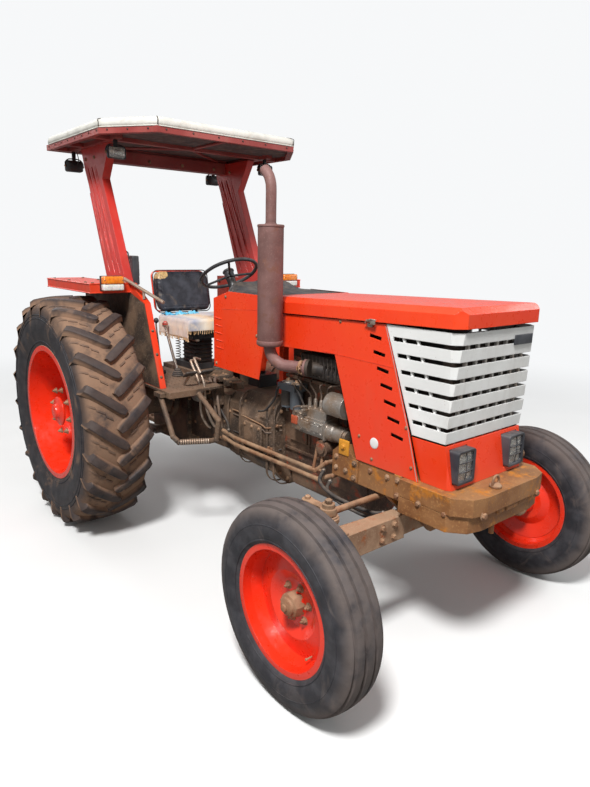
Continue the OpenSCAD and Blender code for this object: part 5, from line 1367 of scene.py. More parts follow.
def reshaped(piece, change):
    """Applies a function of the points, in millimetres from the rear axle, to a mesh."""
    count = len(piece.data.vertices)
    points = np.zeros(count * 3, np.float32)
    piece.data.vertices.foreach_get("co", points)
    points = (points.reshape(-1, 3) - (AXLE_X, 0, 0)) * 1000
    new, shade = change(points)
    piece.data.vertices.foreach_set("co", (new * 0.001 + (AXLE_X, 0, 0)).astype(np.float32).reshape(-1))
    attribute = piece.data.attributes.get("shade") or piece.data.attributes.new("shade", "FLOAT", "POINT")
    attribute.data.foreach_set("value", shade.astype(np.float32))
    piece.data.polygons.foreach_set("use_smooth", np.ones(len(piece.data.polygons), bool))
    piece.data.update()


def subdivided(piece):
    """Rounds the finished cover off once more."""
    fine = piece.modifiers.new("Subdivision", "SUBSURF")
    fine.levels = fine.render_levels = 1


class TRACTOR_OT_seat(bpy.types.Operator):
    """Seat cushion and backrest: stuffed covers with sewn channels, welts and a torn corner that shows the foam"""

    bl_idname = "tractor.seat"
    bl_label = "Seat"

    def execute(self, context):
        sizes = context.scene.tractor_seat
        form = Form()
        form.add(*cushion_form((-34, -243, 1303), (410, 243, 1390), 6, 0.03))
        cushion = form.make("seat_pad", "chassis", "seat", "seat_vinyl", smooth=0)
        stuff(cushion, 0.006, sizes.swell * 0.4, sizes.pressure)

        def dress_cushion(p):
            top = np.clip((p[:, 2] - 1370) / 16, 0, 1)
            channel = sum(np.exp(-(((p[:, 0] - x) / 6.0) ** 2)) for x in (90, 200, 310)) * (np.abs(p[:, 1]) < 190)
            p = p.copy()
            p[:, 2] -= 4.0 * channel * top
            p[:, 2] = np.clip(p[:, 2], 1302.3, 1397.6)
            return p, np.zeros(len(p))

        reshaped(cushion, dress_cushion)
        subdivided(cushion)
        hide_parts("seat_cushion")

        # The backrest is made upright at the place of the CAD pad, then sheared back with its slope
        form = Form()
        form.add(*cushion_form((0, -236, 1408), (78, 236, 1728), 5, 0.035))
        back = form.make("seat_back_pad", "chassis", "seat", "seat_vinyl", smooth=0)
        stuff(back, 0.006, sizes.swell * 0.4, sizes.pressure)

        def dress_back(p):
            p = p.copy()
            front = np.clip((p[:, 0] - 50) / 20, 0, 1)
            inner = (np.abs(p[:, 1]) < 186) * (np.abs(p[:, 2] - 1568) < 112)
            border = np.exp(-(((np.abs(p[:, 1]) - 186) / 5.0) ** 2)) * (np.abs(p[:, 2] - 1568) < 118) + np.exp(
                -(((np.abs(p[:, 2] - 1568) - 112) / 5.0) ** 2)) * (np.abs(p[:, 1]) < 190)
            channel = sum(np.exp(-(((p[:, 1] - y) / 5.5) ** 2)) for y in (-110, -37, 37, 110)) * inner
            p[:, 0] -= (4.5 * border + 3.0 * channel) * front
            torn = 1.15 * np.exp(-((np.hypot((p[:, 1] + 196) * 0.62, p[:, 2] - 1706) / 62.0) ** 2))
            p[:, 0] = np.clip(p[:, 0], 0.4, 83.4)
            p[:, 0] += -116 - (p[:, 2] - 1404) * 0.19
            return p, torn

        reshaped(back, dress_back)
        subdivided(back)
        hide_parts("seat_backrest")

        trim = Form()
        loop = rounded_loop(220, 239, 46, 8)
        ring = np.column_stack([loop[:, 0] + 188, loop[:, 1], np.full(len(loop), 1350.0)])
        trim.tube(0, np.concatenate([ring, ring[:1]]), 4.0, 8, False)
        loop = rounded_loop(238, 158, 44, 8)
        lean = -116 + 39 - (loop[:, 1] + 1568 - 1404) * 0.19
        ring = np.column_stack([lean, loop[:, 0], loop[:, 1] + 1568])
        trim.tube(0, np.concatenate([ring, ring[:1]]), 4.0, 8, False)
        # Orange back shell edge behind the cover
        loop = rounded_loop(229, 148, 40, 8)
        for off, r in ((-2, 5), (4, 5)):
            lean = -116 + off - (loop[:, 1] + 1568 - 1404) * 0.19
            ring = np.column_stack([lean, loop[:, 0], loop[:, 1] + 1568])
            trim.tube(1, np.concatenate([ring, ring[:1]]), r, 8, False)
        # Bellows under the pan, springs and slide rails
        z = np.linspace(1057, 1258, 41)
        r = 74 + 9 * np.sin((z - 1057) / 201 * math.pi * 14)
        rings = [np.column_stack([rounded_loop(q * 1.25, q, 20) + (110, 0), np.full(20, h)]) for q, h in zip(r, z)]
        trim.add(np.concatenate(rings), grid(41, 20, around=True), 2)
        for side in (-1, 1):
            trim.block(3, (-30, side * 168 - 10, 1246), (404, side * 168 + 10, 1260), 3)
            t = np.linspace(0, 9 * 2 * math.pi, 220)
            trim.tube(3, np.stack([-20 + 17 * np.cos(t), side * 96 + 17 * np.sin(t),
                1062 + t / (18 * math.pi) * 180], -1), 3.2, 7)
        trim.make("seat_trim", "chassis", "seat orange hosing link", "seat_vinyl")
        return {"FINISHED"}


class TRACTOR_OT_throw(bpy.types.Operator):
    """Old fringed throw over the cushion, with a blue sheet under it"""

    bl_idname = "tractor.throw"
    bl_label = "Throw"

    def execute(self, context):
        sizes = context.scene.tractor_seat
        hang, top, edge = sizes.hang, 1401.5, 252.0
        front, rear, bend = 424.0, -22.0, 22.0

        def drape(s, length):
            """Distance along the cloth from its middle, turned into a way out and a way down over a rounded edge."""
            flat = length - bend
            t = np.clip((np.abs(s) - flat) / (bend * math.pi / 2), 0, 1) * math.pi / 2
            down = np.clip(np.abs(s) - flat - bend * math.pi / 2, 0, None)
            out = np.minimum(np.abs(s), flat) + bend * np.sin(t)
            return np.sign(s) * out, bend * (1 - np.cos(t)) + down

        wide = 2 * (edge - bend + bend * math.pi / 2 + hang)
        long = (front - rear - bend) + bend * math.pi / 2 + hang * 0.55
        nu, nv = 120, 96
        u = np.linspace(-0.5, 0.5, nu)[None, :] * np.ones((nv, 1))
        v = np.linspace(0, 1, nv)[:, None] * np.ones((1, nu))
        y, fall_y = drape(u * wide, edge)
        x, fall_x = drape(v * long, front - rear)
        x = rear + x
        drop = np.maximum(fall_y, 0) + np.maximum(fall_x, 0) * np.clip(1 - fall_y / 60, 0, 1)
        loose = np.clip(drop / 60, 0, 1)
        ripple = 5.5 * np.sin(x / 21 + 1.3 * np.sin(x / 47)) * loose * (fall_y > 0)
        ripple_x = 5.0 * np.sin(y / 24 + 0.8 * np.sin(y / 60)) * loose * (fall_x > 0) * (fall_y < 20)
        y = y + np.sign(u) * (np.maximum(ripple, -3.5) + 5 * loose * (fall_y > 0))
        x = x + np.maximum(ripple_x, -3) + 4 * loose * (fall_x > 0) * (fall_y < 20)
        wrinkle = 2.0 * np.sin(x / 38 + 0.9 * np.sin(y / 50)) * np.sin(y / 64) + 1.1 * np.sin((x + 2 * y) / 33)
        z = top + 3.2 + wrinkle * (1 - loose) * 0.9 - drop
        points = np.stack([x, y, z], -1)
        faces = grid(nv, nu)
        mesh_points = points.reshape(-1, 3) * 0.001 + (AXLE_X, 0, 0)
        mesh = bpy.data.meshes.new("seat_cloth")
        mesh.from_pydata(mesh_points.tolist(), [], faces.tolist())
        layer = mesh.uv_layers.new(name="cloth")
        corners = np.zeros(len(mesh.loops), np.int32)
        mesh.loops.foreach_get("vertex_index", corners)
        flat_uv = np.stack([u + 0.5, v], -1).reshape(-1, 2)[corners]
        layer.data.foreach_set("uv", flat_uv.astype(np.float32).reshape(-1))
        mesh.polygons.foreach_set("use_smooth", np.ones(len(mesh.polygons), bool))
        mesh.materials.append(FINISHES["throw"])
        cloth = bpy.data.objects.new("seat_cloth", mesh)
        bpy.context.scene.collection.objects.link(cloth)
        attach(cloth, "chassis")
        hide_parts("seat_throw")
        solid = cloth.modifiers.new("Solidify", "SOLIDIFY")
        solid.thickness, solid.offset = 0.0022, 0.0

        fringe = Form()
        rng = np.random.default_rng(7)
        for edge_points, out in ((points[:, 0], (0, -1, 0)), (points[:, -1], (0, 1, 0)), (points[-1], (1, 0, 0))):
            count = sizes.tassels
            at = np.linspace(0, len(edge_points) - 1, count)
            base = np.stack([np.interp(at, np.arange(len(edge_points)), edge_points[:, k]) for k in range(3)], -1)
            length = rng.uniform(16, 27, count)
            sway = rng.uniform(-5, 5, (count, 2))
            for b, l, w in zip(base, length, sway):
                path = np.array([b + (0, 0, 3), b + (w[0] * 0.3, w[1] * 0.3, -l * 0.4), b + (w[0], w[1], -l)])
                fringe.tube(0, path, (2.6, 2.0, 2.8), 5)
        hem = fringe.make("cloth_fringe", "chassis", "fringe", "throw_cloth", smooth=60)
        under = Form()
        # Blue sheet bunched at the rear corner, a crumpled strip that lies on the cushion and over its rear edge
        a, b = np.meshgrid(np.linspace(0, 1, 60), np.linspace(0, 1, 26))
        x = -8 + 66 * b + 9 * np.sin(a * 23 + 2 * b) + 5 * np.sin(a * 61)
        y = -238 + 300 * a
        z = 1406 + 22 * np.sin(b * math.pi) * (0.6 + 0.4 * np.sin(a * 17)) + 5 * np.sin(a * 47 + b * 9)
        under.add(np.stack([x, y, np.maximum(z, 1402)], -1), grid(26, 60), 0)
        sheet = under.make("blue_sheet", "chassis", "blue", "throw_cloth", smooth=70)
        thick = sheet.modifiers.new("Solidify", "SOLIDIFY")
        thick.thickness, thick.offset = 0.0012, 0.0
        return {"FINISHED"}


class TRACTOR_OT_driver(bpy.types.Operator):
    """Dash, instruments, wheel cap, levers, knobs and pedals"""

    bl_idname = "tractor.driver"
    bl_label = "Driver's place"

    def execute(self, context):
        form = Form()
        # Instruments on the rear face of the hump
        for y, r in ((-118, 52), (0, 62), (118, 52), (-196, 26), (196, 26)):
            form.lathe(0, [(r, 0), (r + 3, 4), (r, 9), (r - 5, 9), (r - 7, 5), (2, 5)], 36,
                (876 + 4, y, 1636 if abs(y) < 190 else 1606), (-0.96, 0, 0.28))
            form.lathe(4, [(r - 7, 5.2), (r - 7, 5.6)], 36, (876 + 4, y, 1636 if abs(y) < 190 else 1606),
                (-0.96, 0, 0.28))
        for k in range(6):
            form.lathe(3, [(9, 0), (9, 3), (6, 6)], 14, (876, -75 + 30 * k, 1548), (-1, 0, 0))
        for y in (-262, -230, 235, 268):
            form.lathe(0, [(6, 0), (6, 14), (12, 15), (13, 24), (9, 28)], 18, (876, y, 1540), (-1, 0, 0))
        # Cap and hub of the steering wheel
        lean = math.radians(31)
        along = np.array((-math.sin(lean), 0, math.cos(lean)))
        form.make("dash_dials", "chassis", "black bright knob amber spacer", "black_plastic")
        wheel = Form()
        wheel.lathe(0, [(34, 0), (40, 6), (40, 14), (32, 22), (14, 26)], 32, np.array((547, 0, 1727.0)) + along * 6,
            along)
        for a in np.radians((90, 210, 330)):
            c, s = math.cos(a), math.sin(a)
            x_dir, y_dir = np.array((math.cos(lean), 0, math.sin(lean))), np.array((0, 1.0, 0))
            u = np.linspace(0, 1, 9)[:, None]
            path = np.array((547, 0, 1727.0)) + (x_dir * c + y_dir * s) * (30 + 166 * u) + along * (-14 + 14 * u**1.4)
            wheel.tube(1, path, 6.0, 8)
        wheel.make("wheel_cap", "steering_wheel", "black satin", "black_plastic")

        gear = Form()
        for x, y, z, r, f in ((165, -300, 1345, 21, 2), (470, 40, 1300, 25, 0)):
            gear.lathe(f, [(r * 0.35, -4), (r * 0.8, 4), (r, r * 0.8), (r * 0.92, r * 1.35), (r * 0.5, r * 1.75),
                (r * 0.1, r * 1.82)], 24, (x, y, z - 6))
        for x, y in ((335, -300), (330, 40)):
            z = 1006 if y < 0 else 1013
            gear.lathe(3, [(42, 0), (44, 5), (36, 10), (38, 16), (30, 22), (32, 28), (23, 36), (24, 42), (14, 54)],
                24, (x - 2, y, z))
        # Hand levers beside the seat with a plate for their travel
        for x, y, tip, f in ((120, -352, (60, -360, 1400), 2), (180, -352, (150, -362, 1372), 0),
            (60, -352, (-20, -360, 1372), 0)):
            gear.tube(1, smoothed([(x, y, 1006), (x - 8, y - 2, 1120), np.array(tip) - (0, 0, 40), tip], 6), 6.5, 9)
            gear.lathe(f, [(6, 0), (16, 6), (19, 18), (14, 32), (4, 38)], 18, np.array(tip) - (0, 0, 6))
        gear.block(3, (20, -372, 1004.4), (220, -332, 1030), 4)
        # Pedals on arms through the floor
        for x, y in ((720, -300), (716, -420), (724, 300)):
            gear.tube(1, smoothed([(x - 80, y, 1010), (x - 40, y, 1050), (x - 8, y, 1082)], 5), 9, 8)
            pad = soft_block((-42, -36, -6), (42, 36, 6), 4, 10)
            gear.add(placed(pad[0], (x, y, 1092), (-0.5, 0, 0.86)), pad[1], 3)
            for k in range(4):
                rib = soft_block((-34, -30 + 18 * k, 5), (34, -24 + 18 * k, 8.5), 1)
                gear.add(placed(rib[0], (x, y, 1092), (-0.5, 0, 0.86)), rib[1], 3)
        gear.make("levers_and_pedals", "chassis", "black bright knob hosing", "link_steel")

        deck = Form()
        # Raised lozenges on the floor plates and the rib of the step
        lozenge, faces = capped([(11, 0), (10, 1.2), (6, 2.2)], 4)
        stretched = lozenge * (1, 0.42, 1)
        for side in (-1, 1):
            xs, ys = np.meshgrid(np.arange(150, 770, 46), np.arange(236, 590, 46))
            shift = ((np.arange(xs.shape[0])[:, None] % 2) * 23) + xs
            keep = ((shift > 760) | (shift < 130)).reshape(-1)
            spots = np.stack([shift, side * ys, np.full(xs.shape, 1004.0)], -1).reshape(-1, 3)[~keep]
            deck.add(*copies((stretched, faces), spots), 0)
        # Cuffs round the step's tube where the foot goes
        for side in (-1, 1):
            start, end = np.array((906.0, side * 608, 712)), np.array((984.0, side * 458, 712))
            for k in range(13):
                deck.lathe(1, [(17.2, 0), (19.4, 2), (19.4, 6), (17.2, 8)], 16, start + (end - start) * k / 12,
                    end - start)
        deck.make("deck_tread", "chassis", "casting zinc", "cast_housing")
        return {"FINISHED"}


# ---------- Engine, exhaust, front end and hitch ----------


class TRACTOR_OT_engine_fittings(bpy.types.Operator):
    """Bolts, injector pipes, hoses, belt, pulleys and small castings of the open engine bay"""

    bl_idname = "tractor.engine_fittings"
    bl_label = "Engine fittings"

    def execute(self, context):
        form = Form()
        cast_, dark, alloy, rust, hosing, steel, orange, blue = range(8)
        for side in (-1, 1):
            out = (0, side, 0)
            # Head bolts and frost plugs
            bolts(form, [(x, side * 135, z) for x in range(1450, 2060, 68) for z in (1204, 1268)], out, 9, 7, rust)
            plug, faces = capped([(24, 0), (25, 3), (20, 4), (18, 1.5)], 20)
            form.add(*copies((placed(plug, (0, 0, 0), out), faces),
                [(x, side * 165, 1060) for x in (1480, 1740, 1990)]), alloy)
        # Injection lines from the pump up to the heads
        for i in range(4):
            x = 1680 + i * 46
            end = 1500 + i * 150
            hose(form, [(x, -219, 1088), (x, -219, 1120 + 9 * i), (x + (end - x) * 0.35, -232 - 3 * i, 1168 + 9 * i),
                (x + (end - x) * 0.8, -190, 1196 + 5 * i), (end, -138, 1230)], 4.6, steel, 8)
            nut, faces = capped([(9, 0), (10, 2), (10, 14), (7, 17)], 6)
            form.add(placed(nut, (x, -219, 1084)), faces, alloy)
            form.add(placed(nut, (end, -134, 1230), (0, -1, 0)), faces, alloy)
        # Pump governor housing, lever, fuel inlets and side cover
        form.block(alloy, (1560, -258, 900), (1642, -196, 1010), 16, 22)
        form.block(alloy, (1660, -270, 920), (1842, -258, 990), 5, 10)
        bolts(form, [(x, -270, z) for x in (1672, 1720, 1780, 1830) for z in (928, 982)], (0, -1, 0), 6, 5, alloy)
        form.block(orange, (1574, -270, 936), (1626, -256, 986), 6, 20)
        form.tube(steel, smoothed([(1600, -266, 990), (1606, -276, 1030), (1650, -284, 1052), (1700, -280, 1060)],
            6), 5, 8)
        form.tube(alloy, np.array([(1696, -300, 1060), (1704, -262, 1060)]), 8, 10)
        for x, r, h in ((1862, 50, 46), (1912, 38, 40), (1958, 30, 22)):
            form.lathe(alloy, [(r - 6, 0), (r, 6), (r, h - 6), (r - 6, h)], 32, (x, -219, 945), (1, 0, 0))
        bolts(form, [(1960 + 20, -219 + 22 * math.cos(a), 945 + 22 * math.sin(a)) for a in np.arange(5) * 1.257],
            (1, 0, 0), 6, 5, rust)
        # Filter heads, banjo bolts and drain cocks
        for i in (0, 1):
            x = 1475 + i * 80
            form.lathe(alloy, [(36, 0), (40, 6), (40, 26), (30, 38), (12, 42)], 28, (x, -212, 1120))
            form.lathe(blue if i else hosing, [(20, 0), (36, 10), (38.5, 16), (38.5, 96), (40, 100), (40, 110)], 32,
                (x, -212, 1004))
            bolts(form, [(x, -212, 1160)], (0, 0, 1), 11, 12, rust)
            form.lathe(alloy, [(5, 0), (7, 3), (7, 16), (11, 18), (11, 24)], 12, (x, -212, 1004), (0, 0, -1))
        hose(form, [(1555, -232, 1140), (1600, -262, 1150), (1640, -262, 1110), (1660, -240, 1040),
            (1664, -238, 1010)], 6, hosing, 9, 6, alloy)
        hose(form, [(1475, -246, 1136), (1440, -262, 1110), (1400, -250, 1040), (1330, -262, 960),
            (1240, -250, 930)], 6.5, hosing, 9, 6)
        # Finned dark air box and manifold casing below the hood's edge
        form.block(dark, (1640, -262, 1300), (2060, -150, 1352), 12)
        for k in range(13):
            form.block(dark, (1652 + 30 * k, -270, 1238), (1660 + 30 * k, -180, 1350), 2)
        # Dipstick
        hose(form, [(1760, -168, 870), (1756, -196, 900), (1752, -204, 1040), (1750, -196, 1130)], 5, steel, 8, 5)
        form.lathe(rust, [(10, 0), (12, 3), (12, 9), (9, 12)], 14, (1750, -196, 1130))
        # Thick return pipes and two pale hoses that run forward under the rail
        hose(form, [(1770, -262, 714), (1772, -250, 780), (1770, -232, 860), (1768, -220, 910)], 9, rust, 10, 6)
        hose(form, [(1820, -256, 716), (1822, -246, 780), (1820, -232, 850), (1816, -222, 906)], 9, rust, 10, 6)
        hose(form, [(1852, -255, 738), (1900, -330, 700), (2010, -352, 672), (2140, -330, 650), (2250, -300, 640),
            (2300, -250, 640)], 10, hosing, 10, 8, alloy)
        hose(form, [(1905, -255, 690), (1950, -320, 664), (2060, -340, 640), (2170, -318, 616), (2260, -290, 606),
            (2306, -240, 610)], 10, hosing, 10, 8, alloy)
        # Thin copper-brown pipes along the gearbox
        for k, (y, z) in enumerate(((-186, 820), (-190, 850), (-184, 700))):
            hose(form, [(860, y + 6, z), (980, y - 8, z + 6), (1010, y - 30, z + 4), (1240, y - 42, z - 8),
                (1340, -258, z - 4), (1410, -200, z + 20)], 4.5, (steel, rust, hosing)[k], 8, 6)
        hose(form, [(600, -190, 880), (700, -200, 850), (820, -204, 760), (930, -262, 730)], 8, hosing, 9, 6, alloy)
        # Pulleys
        for y, z, r in ((0, 1142, 62), (0, 700, 86), (-248, 1110, 40)):
            form.lathe(steel, [(r, 0), (r, 4), (r - 9, 10), (r, 16), (r, 20), (r * 0.5, 20)], 36,
                (2146 if z > 800 else 2166, y, z), (1, 0, 0))
        # The belt: straight runs and arcs round the three pulleys
        tri = np.array([(0, 700, 80), (-248, 1110, 34), (0, 1142, 56)], float)
        loop = []
        for i in range(3):
            (y0, z0, r0), (y1, z1, r1) = tri[i], tri[(i + 1) % 3]
            d = math.hypot(y1 - y0, z1 - z0)
            base = math.atan2(z1 - z0, y1 - y0)
            lift = math.acos((r0 - r1) / d)
            n = base + lift
            loop += [(y0 + r0 * math.cos(n), z0 + r0 * math.sin(n)), (y1 + r1 * math.cos(n), z1 + r1 * math.sin(n))]
        loop = np.array(loop)
        belt = smoothed(np.column_stack([np.full(7, 2166.0), np.concatenate([loop, loop[:1]])]), 12)
        form.tube(hosing, belt, 6.5, 6, False)
        # Radiator fins: thin upright ribs on the core's rear face, and its hoses
        ribs, faces = soft_block((-1.2, -1.6, -270), (1.2, 1.6, 270), 0.5)
        form.add(*copies((ribs, faces), [(2234 - 0.6, y, 1215) for y in range(-252, 256, 14)]), dark)
        hose(form, [(2060, 60, 1300), (2120, 90, 1380), (2180, 110, 1470), (2236, 120, 1500)], 24, hosing, 14, 8,
            alloy)
        hose(form, [(2240, -140, 930), (2180, -130, 920), (2120, -90, 960), (2060, -60, 1000)], 24, hosing, 14, 8,
            alloy)
        hose(form, [(1560, 268, 800), (1600, 280, 860), (1700, 230, 960), (1900, 200, 1010), (2050, 200, 1100)], 6,
            hosing, 8, 6)
        form.lathe(dark, [(52, 0), (60, 8), (60, 190), (50, 204), (22, 210), (22, 240)], 32, (1500, 232, 1160),
            (0, 0, 1))
        form.make(
            "engine_fittings", "chassis", "block dark pump rust hosing link engine_orange filter_blue", "cast_housing"
        )
        return {"FINISHED"}


class TRACTOR_OT_gearbox_fittings(bpy.types.Operator):
    """Flanges, bolts, plates and brake housings of the gearbox and rear axle"""

    bl_idname = "tractor.gearbox_fittings"
    bl_label = "Gearbox fittings"

    def execute(self, context):
        form = Form()
        for x, half, z0, z1 in ((292, 206, 480, 955), (812, 190, 520, 960), (1004, 226, 512, 1006),
            (1332, 254, 492, 1036), (1398, 252, 490, 1030)):
            loop = rounded_loop((z1 - z0) / 2, half, 96, 6)
            middle = (z0 + z1) / 2
            rings = [loop * (1 + grow / half) for grow in (0, 4, 4, 0)]
            places = zip(rings, (x - 9, x - 6, x + 6, x + 9))
            points = [np.column_stack([np.full(len(loop), at), ring[:, 1], ring[:, 0] + middle]) for ring,
                at in places]
            form.add(np.concatenate(points), grid(4, len(loop), around=True)[:, ::-1], 0)
            a = circle(14) + 0.2
            c, s = (np.sign(v) * np.abs(v) ** 0.6 for v in (np.cos(a), np.sin(a)))
            spots = np.column_stack([np.full(14, x + 9), (half - 12) * c, middle + ((z1 - z0) / 2 - 14) * s])
            form.add(*copies(bolt(9, 8, True, (1, 0, 0)), spots), 1)
        for side in (-1, 1):
            out = (0, side, 0)
            # Side covers and ribs
            form.beside(0, side, (360, 172, 640), (560, 188, 860), 6, 40)
            bolts(form, [(x, side * 188, z) for x in (376, 460, 544) for z in (656, 844)], out, 8, 6, 1)
            form.beside(0, side, (620, 172, 600), (780, 184, 760), 6, 30)
            bolts(form, [(x, side * 184, z) for x in (634, 700, 766) for z in (614, 746)], out, 8, 6, 1)
            form.beside(0, side, (1060, 216, 640), (1250, 240, 830), 8, 60)
            bolts(form, [(x, side * 240, z) for x in (1080, 1155, 1230) for z in (658, 812)], out, 8, 6, 1)
            # Rings of bolts on the axle trumpets and brake housings with their rods
            for y, r, n in ((236, 150, 12), (636, 100, 10)):
                a = circle(n)
                spots = np.stack([r * np.sin(a), np.full(n, side * (y + 1)), REAR_R + r * np.cos(a)], -1)
                form.add(*copies(bolt(9, 8, True, out), spots), 1)
            form.beside(0, side, (-60, 300, 672), (60, 420, 700), 8, 20)
            for k in range(5):
                form.beside(0, side, (-110 + 6 * k, 250 + 34 * k, 760), (110 - 6 * k, 256 + 34 * k, 898 - 7 * k), 2)
            hose(form, [(60, side * 360, 880), (200, side * 300, 900), (420, side * 250, 880),
                (690, side * 260, 940), (720, side * 300, 1000)], 6, 1, 8, 6)
        # Curved shift rods and lines over the gearbox top, seen in front of the near post
        hose(form, [(420, -60, 960), (520, -150, 1000), (640, -210, 990), (700, -230, 920), (716, -226, 800),
            (700, -200, 720)], 10, 2, 9, 7)
        hose(form, [(440, -30, 960), (560, -130, 1002), (680, -206, 996), (748, -232, 920), (764, -226, 800),
            (750, -196, 700)], 10, 2, 9, 7)
        hose(form, [(520, -262, 1130), (560, -318, 1150), (588, -330, 1127), (675, -330, 1015), (691, -326, 817),
            (708, -300, 736), (704, -262, 700)], 9, 4, 10, 7)
        hose(form, [(560, -250, 1150), (600, -316, 1172), (641, -330, 1146), (739, -330, 1026), (752, -326, 871),
            (790, -300, 757), (800, -262, 716)], 9, 4, 10, 7)
        form.lathe(3, [(40, 0), (64, 12), (70, 40), (60, 60), (30, 74), (8, 80)], 30, (470, -186, 900), (0, -1, 0))
        for k, (x, z) in enumerate(((420, 992), (560, 985), (640, 975))):
            form.block(0, (x - 30, -70 + 20 * k, z - 50), (x + 34, 70 - 12 * k, z), 8, 16)
            bolts(form, [(x - 18, 40, z), (x + 20, 40, z), (x - 18, -40, z), (x + 20, -40, z)], (0, 0, 1), 8, 6, 1)
        form.make("gearbox_fittings", "chassis", "casting rust link pump zinc", "cast_housing")
        return {"FINISHED"}


class TRACTOR_OT_dash_pad(bpy.types.Operator):
    """Moulded pad over the cowl: low in front, with a rounded hump for the instruments at the rear"""

    bl_idname = "tractor.dash_pad"
    bl_label = "Dash pad"

    def execute(self, context):
        xs = np.concatenate([[876, 879, 884, 891, 899, 908], np.linspace(922, 1060, 14), np.linspace(1090, 1398, 10)])
        sheet = np.interp(xs, (876, 884, 1040, 1398), (1560, 1598, 1645, 1637))
        crest = np.interp(xs, (876, 908, 926, 956, 1050, 1398), (1560, 1688, 1694, 1688, 1648, 1638))
        y = np.linspace(-326, 326, 61)
        share = np.clip((286 - np.abs(y)) / 96, 0, 1)
        bell = share * share * (3 - 2 * share)
        crease = -1.6 * np.exp(-(((np.abs(y) - 176) / 5) ** 2))
        rings = []
        for x, low, high in zip(xs, sheet, crest):
            top = low + np.maximum(high - low, 0) * bell + crease * (x > 920) - 5 * (np.abs(y) / 326) ** 16
            upper = np.column_stack([np.full(61, x), y, top])
            under = np.column_stack([np.full(61, x), y[::-1] * 0.999, np.full(61, 1502.0)])
            rings.append(np.concatenate([upper, under]))
        n, last = 122, 122 * (len(xs) - 1)
        points = np.concatenate(rings + [[[xs[0], 0, 1530], [xs[-1], 0, 1570]]])
        form = Form()
        form.add(points, [grid(len(xs), n, around=True), fan(0, n, n * len(xs), True),
            fan(last, n, n * len(xs) + 1)], 0)
        pad = form.make("dash_cover", "chassis", "black", "black_plastic", smooth=40)
        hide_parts("dash")
        return {"FINISHED"}


class TRACTOR_OT_exhaust_stack(bpy.types.Operator):
    """Muffler can with a flat rolled end, its open-mouthed tail pipe and the elbow to the manifold"""

    bl_idname = "tractor.exhaust_stack"
    bl_label = "Exhaust stack"

    def execute(self, context):
        form = Form()
        at = np.array((1545.0, -402.0, 0.0))
        form.lathe(0, [(30, 1386), (60, 1386), (65, 1389), (68, 1395), (68, 2006), (70.5, 2008), (71, 2013),
            (70, 2018), (66, 2020), (62, 2016), (30, 2015)], 56, at)
        tail = smoothed([(0, 0, 2006), (0, 0, 2120), (0, 0, 2196), (-6, 0, 2232), (-24, 0, 2266), (-58, 0, 2296)], 8)
        outer = pipe(tail + at, 28, 28, False)
        form.add(*outer)
        # The wall of the mouth and the sooty bore behind it
        bore = pipe(tail[len(tail) // 2:] + at, 25.5, 28, False)
        form.add(bore[0], [block[:, ::-1] for block in bore[1]], 1)
        form.add(np.concatenate([outer[0][-28:], bore[0][-28:]]), grid(2, 28, around=True), 0)
        # Elbow
        c, s = math.cos(math.radians(28)), math.sin(math.radians(28))
        t = np.linspace(0, math.pi / 2, 15)
        out = np.concatenate([[0.0], 100 * (1 - np.cos(t)), [204.0]])
        down = np.concatenate([[1396.0], 1384 - 100 * np.sin(t), [1284.0]])
        form.tube(0, np.column_stack([1545 + out * c, -402 + out * s, down]), 32, 30, False)
        form.lathe(0, [(30, 0), (44, 1), (46, 3), (46, 13), (44, 15.4), (30, 15.4)], 36,
            (1545 + 204.2 * c, -402 + 204.2 * s, 1284), (c, s, 0))
        piece = form.make("exhaust_pipe", "chassis", "exhaust dark", "exhaust_steel", smooth=40)
        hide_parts("exhaust_stack")
        return {"FINISHED"}


class TRACTOR_OT_exhaust_fittings(bpy.types.Operator):
    """Collar, clamps, weld seams and flange bolts of the exhaust"""

    bl_idname = "tractor.exhaust_fittings"
    bl_label = "Exhaust fittings"

    def execute(self, context):
        form = Form()
        x, y = 1545, -402
        form.lathe(0, [(69, 0), (71.5, 3), (71.5, 22), (69, 25)], 40, (x, y, 1392))
        a = np.linspace(1420, 1985, 80)
        form.tube(0, np.column_stack([np.full(80, x + 10), np.full(80, y + 68.0), a]), 1.8 + 0.5 * np.sin(a), 6)
        form.lathe(0, [(27, 0), (32, 2), (31, 7), (27, 9)], 30, (x, y, 2019))
        # Clamp at the elbow with two ears and its bolt
        d = np.array((math.cos(math.radians(28)), math.sin(math.radians(28)), 0))
        at = np.array((x, y, 1284)) + d * 176
        form.lathe(1, [(33, 0), (36.5, 2), (36.5, 16), (33, 18)], 30, at, d)
        side = np.cross(d, (0, 0, 1))
        ear = soft_block((-3, -10, -9), (3, 14, 9), 2)
        for k in (-5, 5):
            form.add(placed(ear[0], at + d * 9 + side * 42 + d * k, side), ear[1], 1)
        bolts(form, [at + d * 17 + side * 46], d, 6, 6, 1)
        for k in range(4):
            a = k * math.pi / 2 + 0.7
            spot = np.array((x, y, 1284)) + d * 203 + side * 38 * math.cos(a) + np.array((0, 0, 38 * math.sin(a)))
            bolts(form, [spot], -d, 7, 6, 1)
        form.make("exhaust_fittings", "chassis", "exhaust rust", "exhaust_steel")
        return {"FINISHED"}


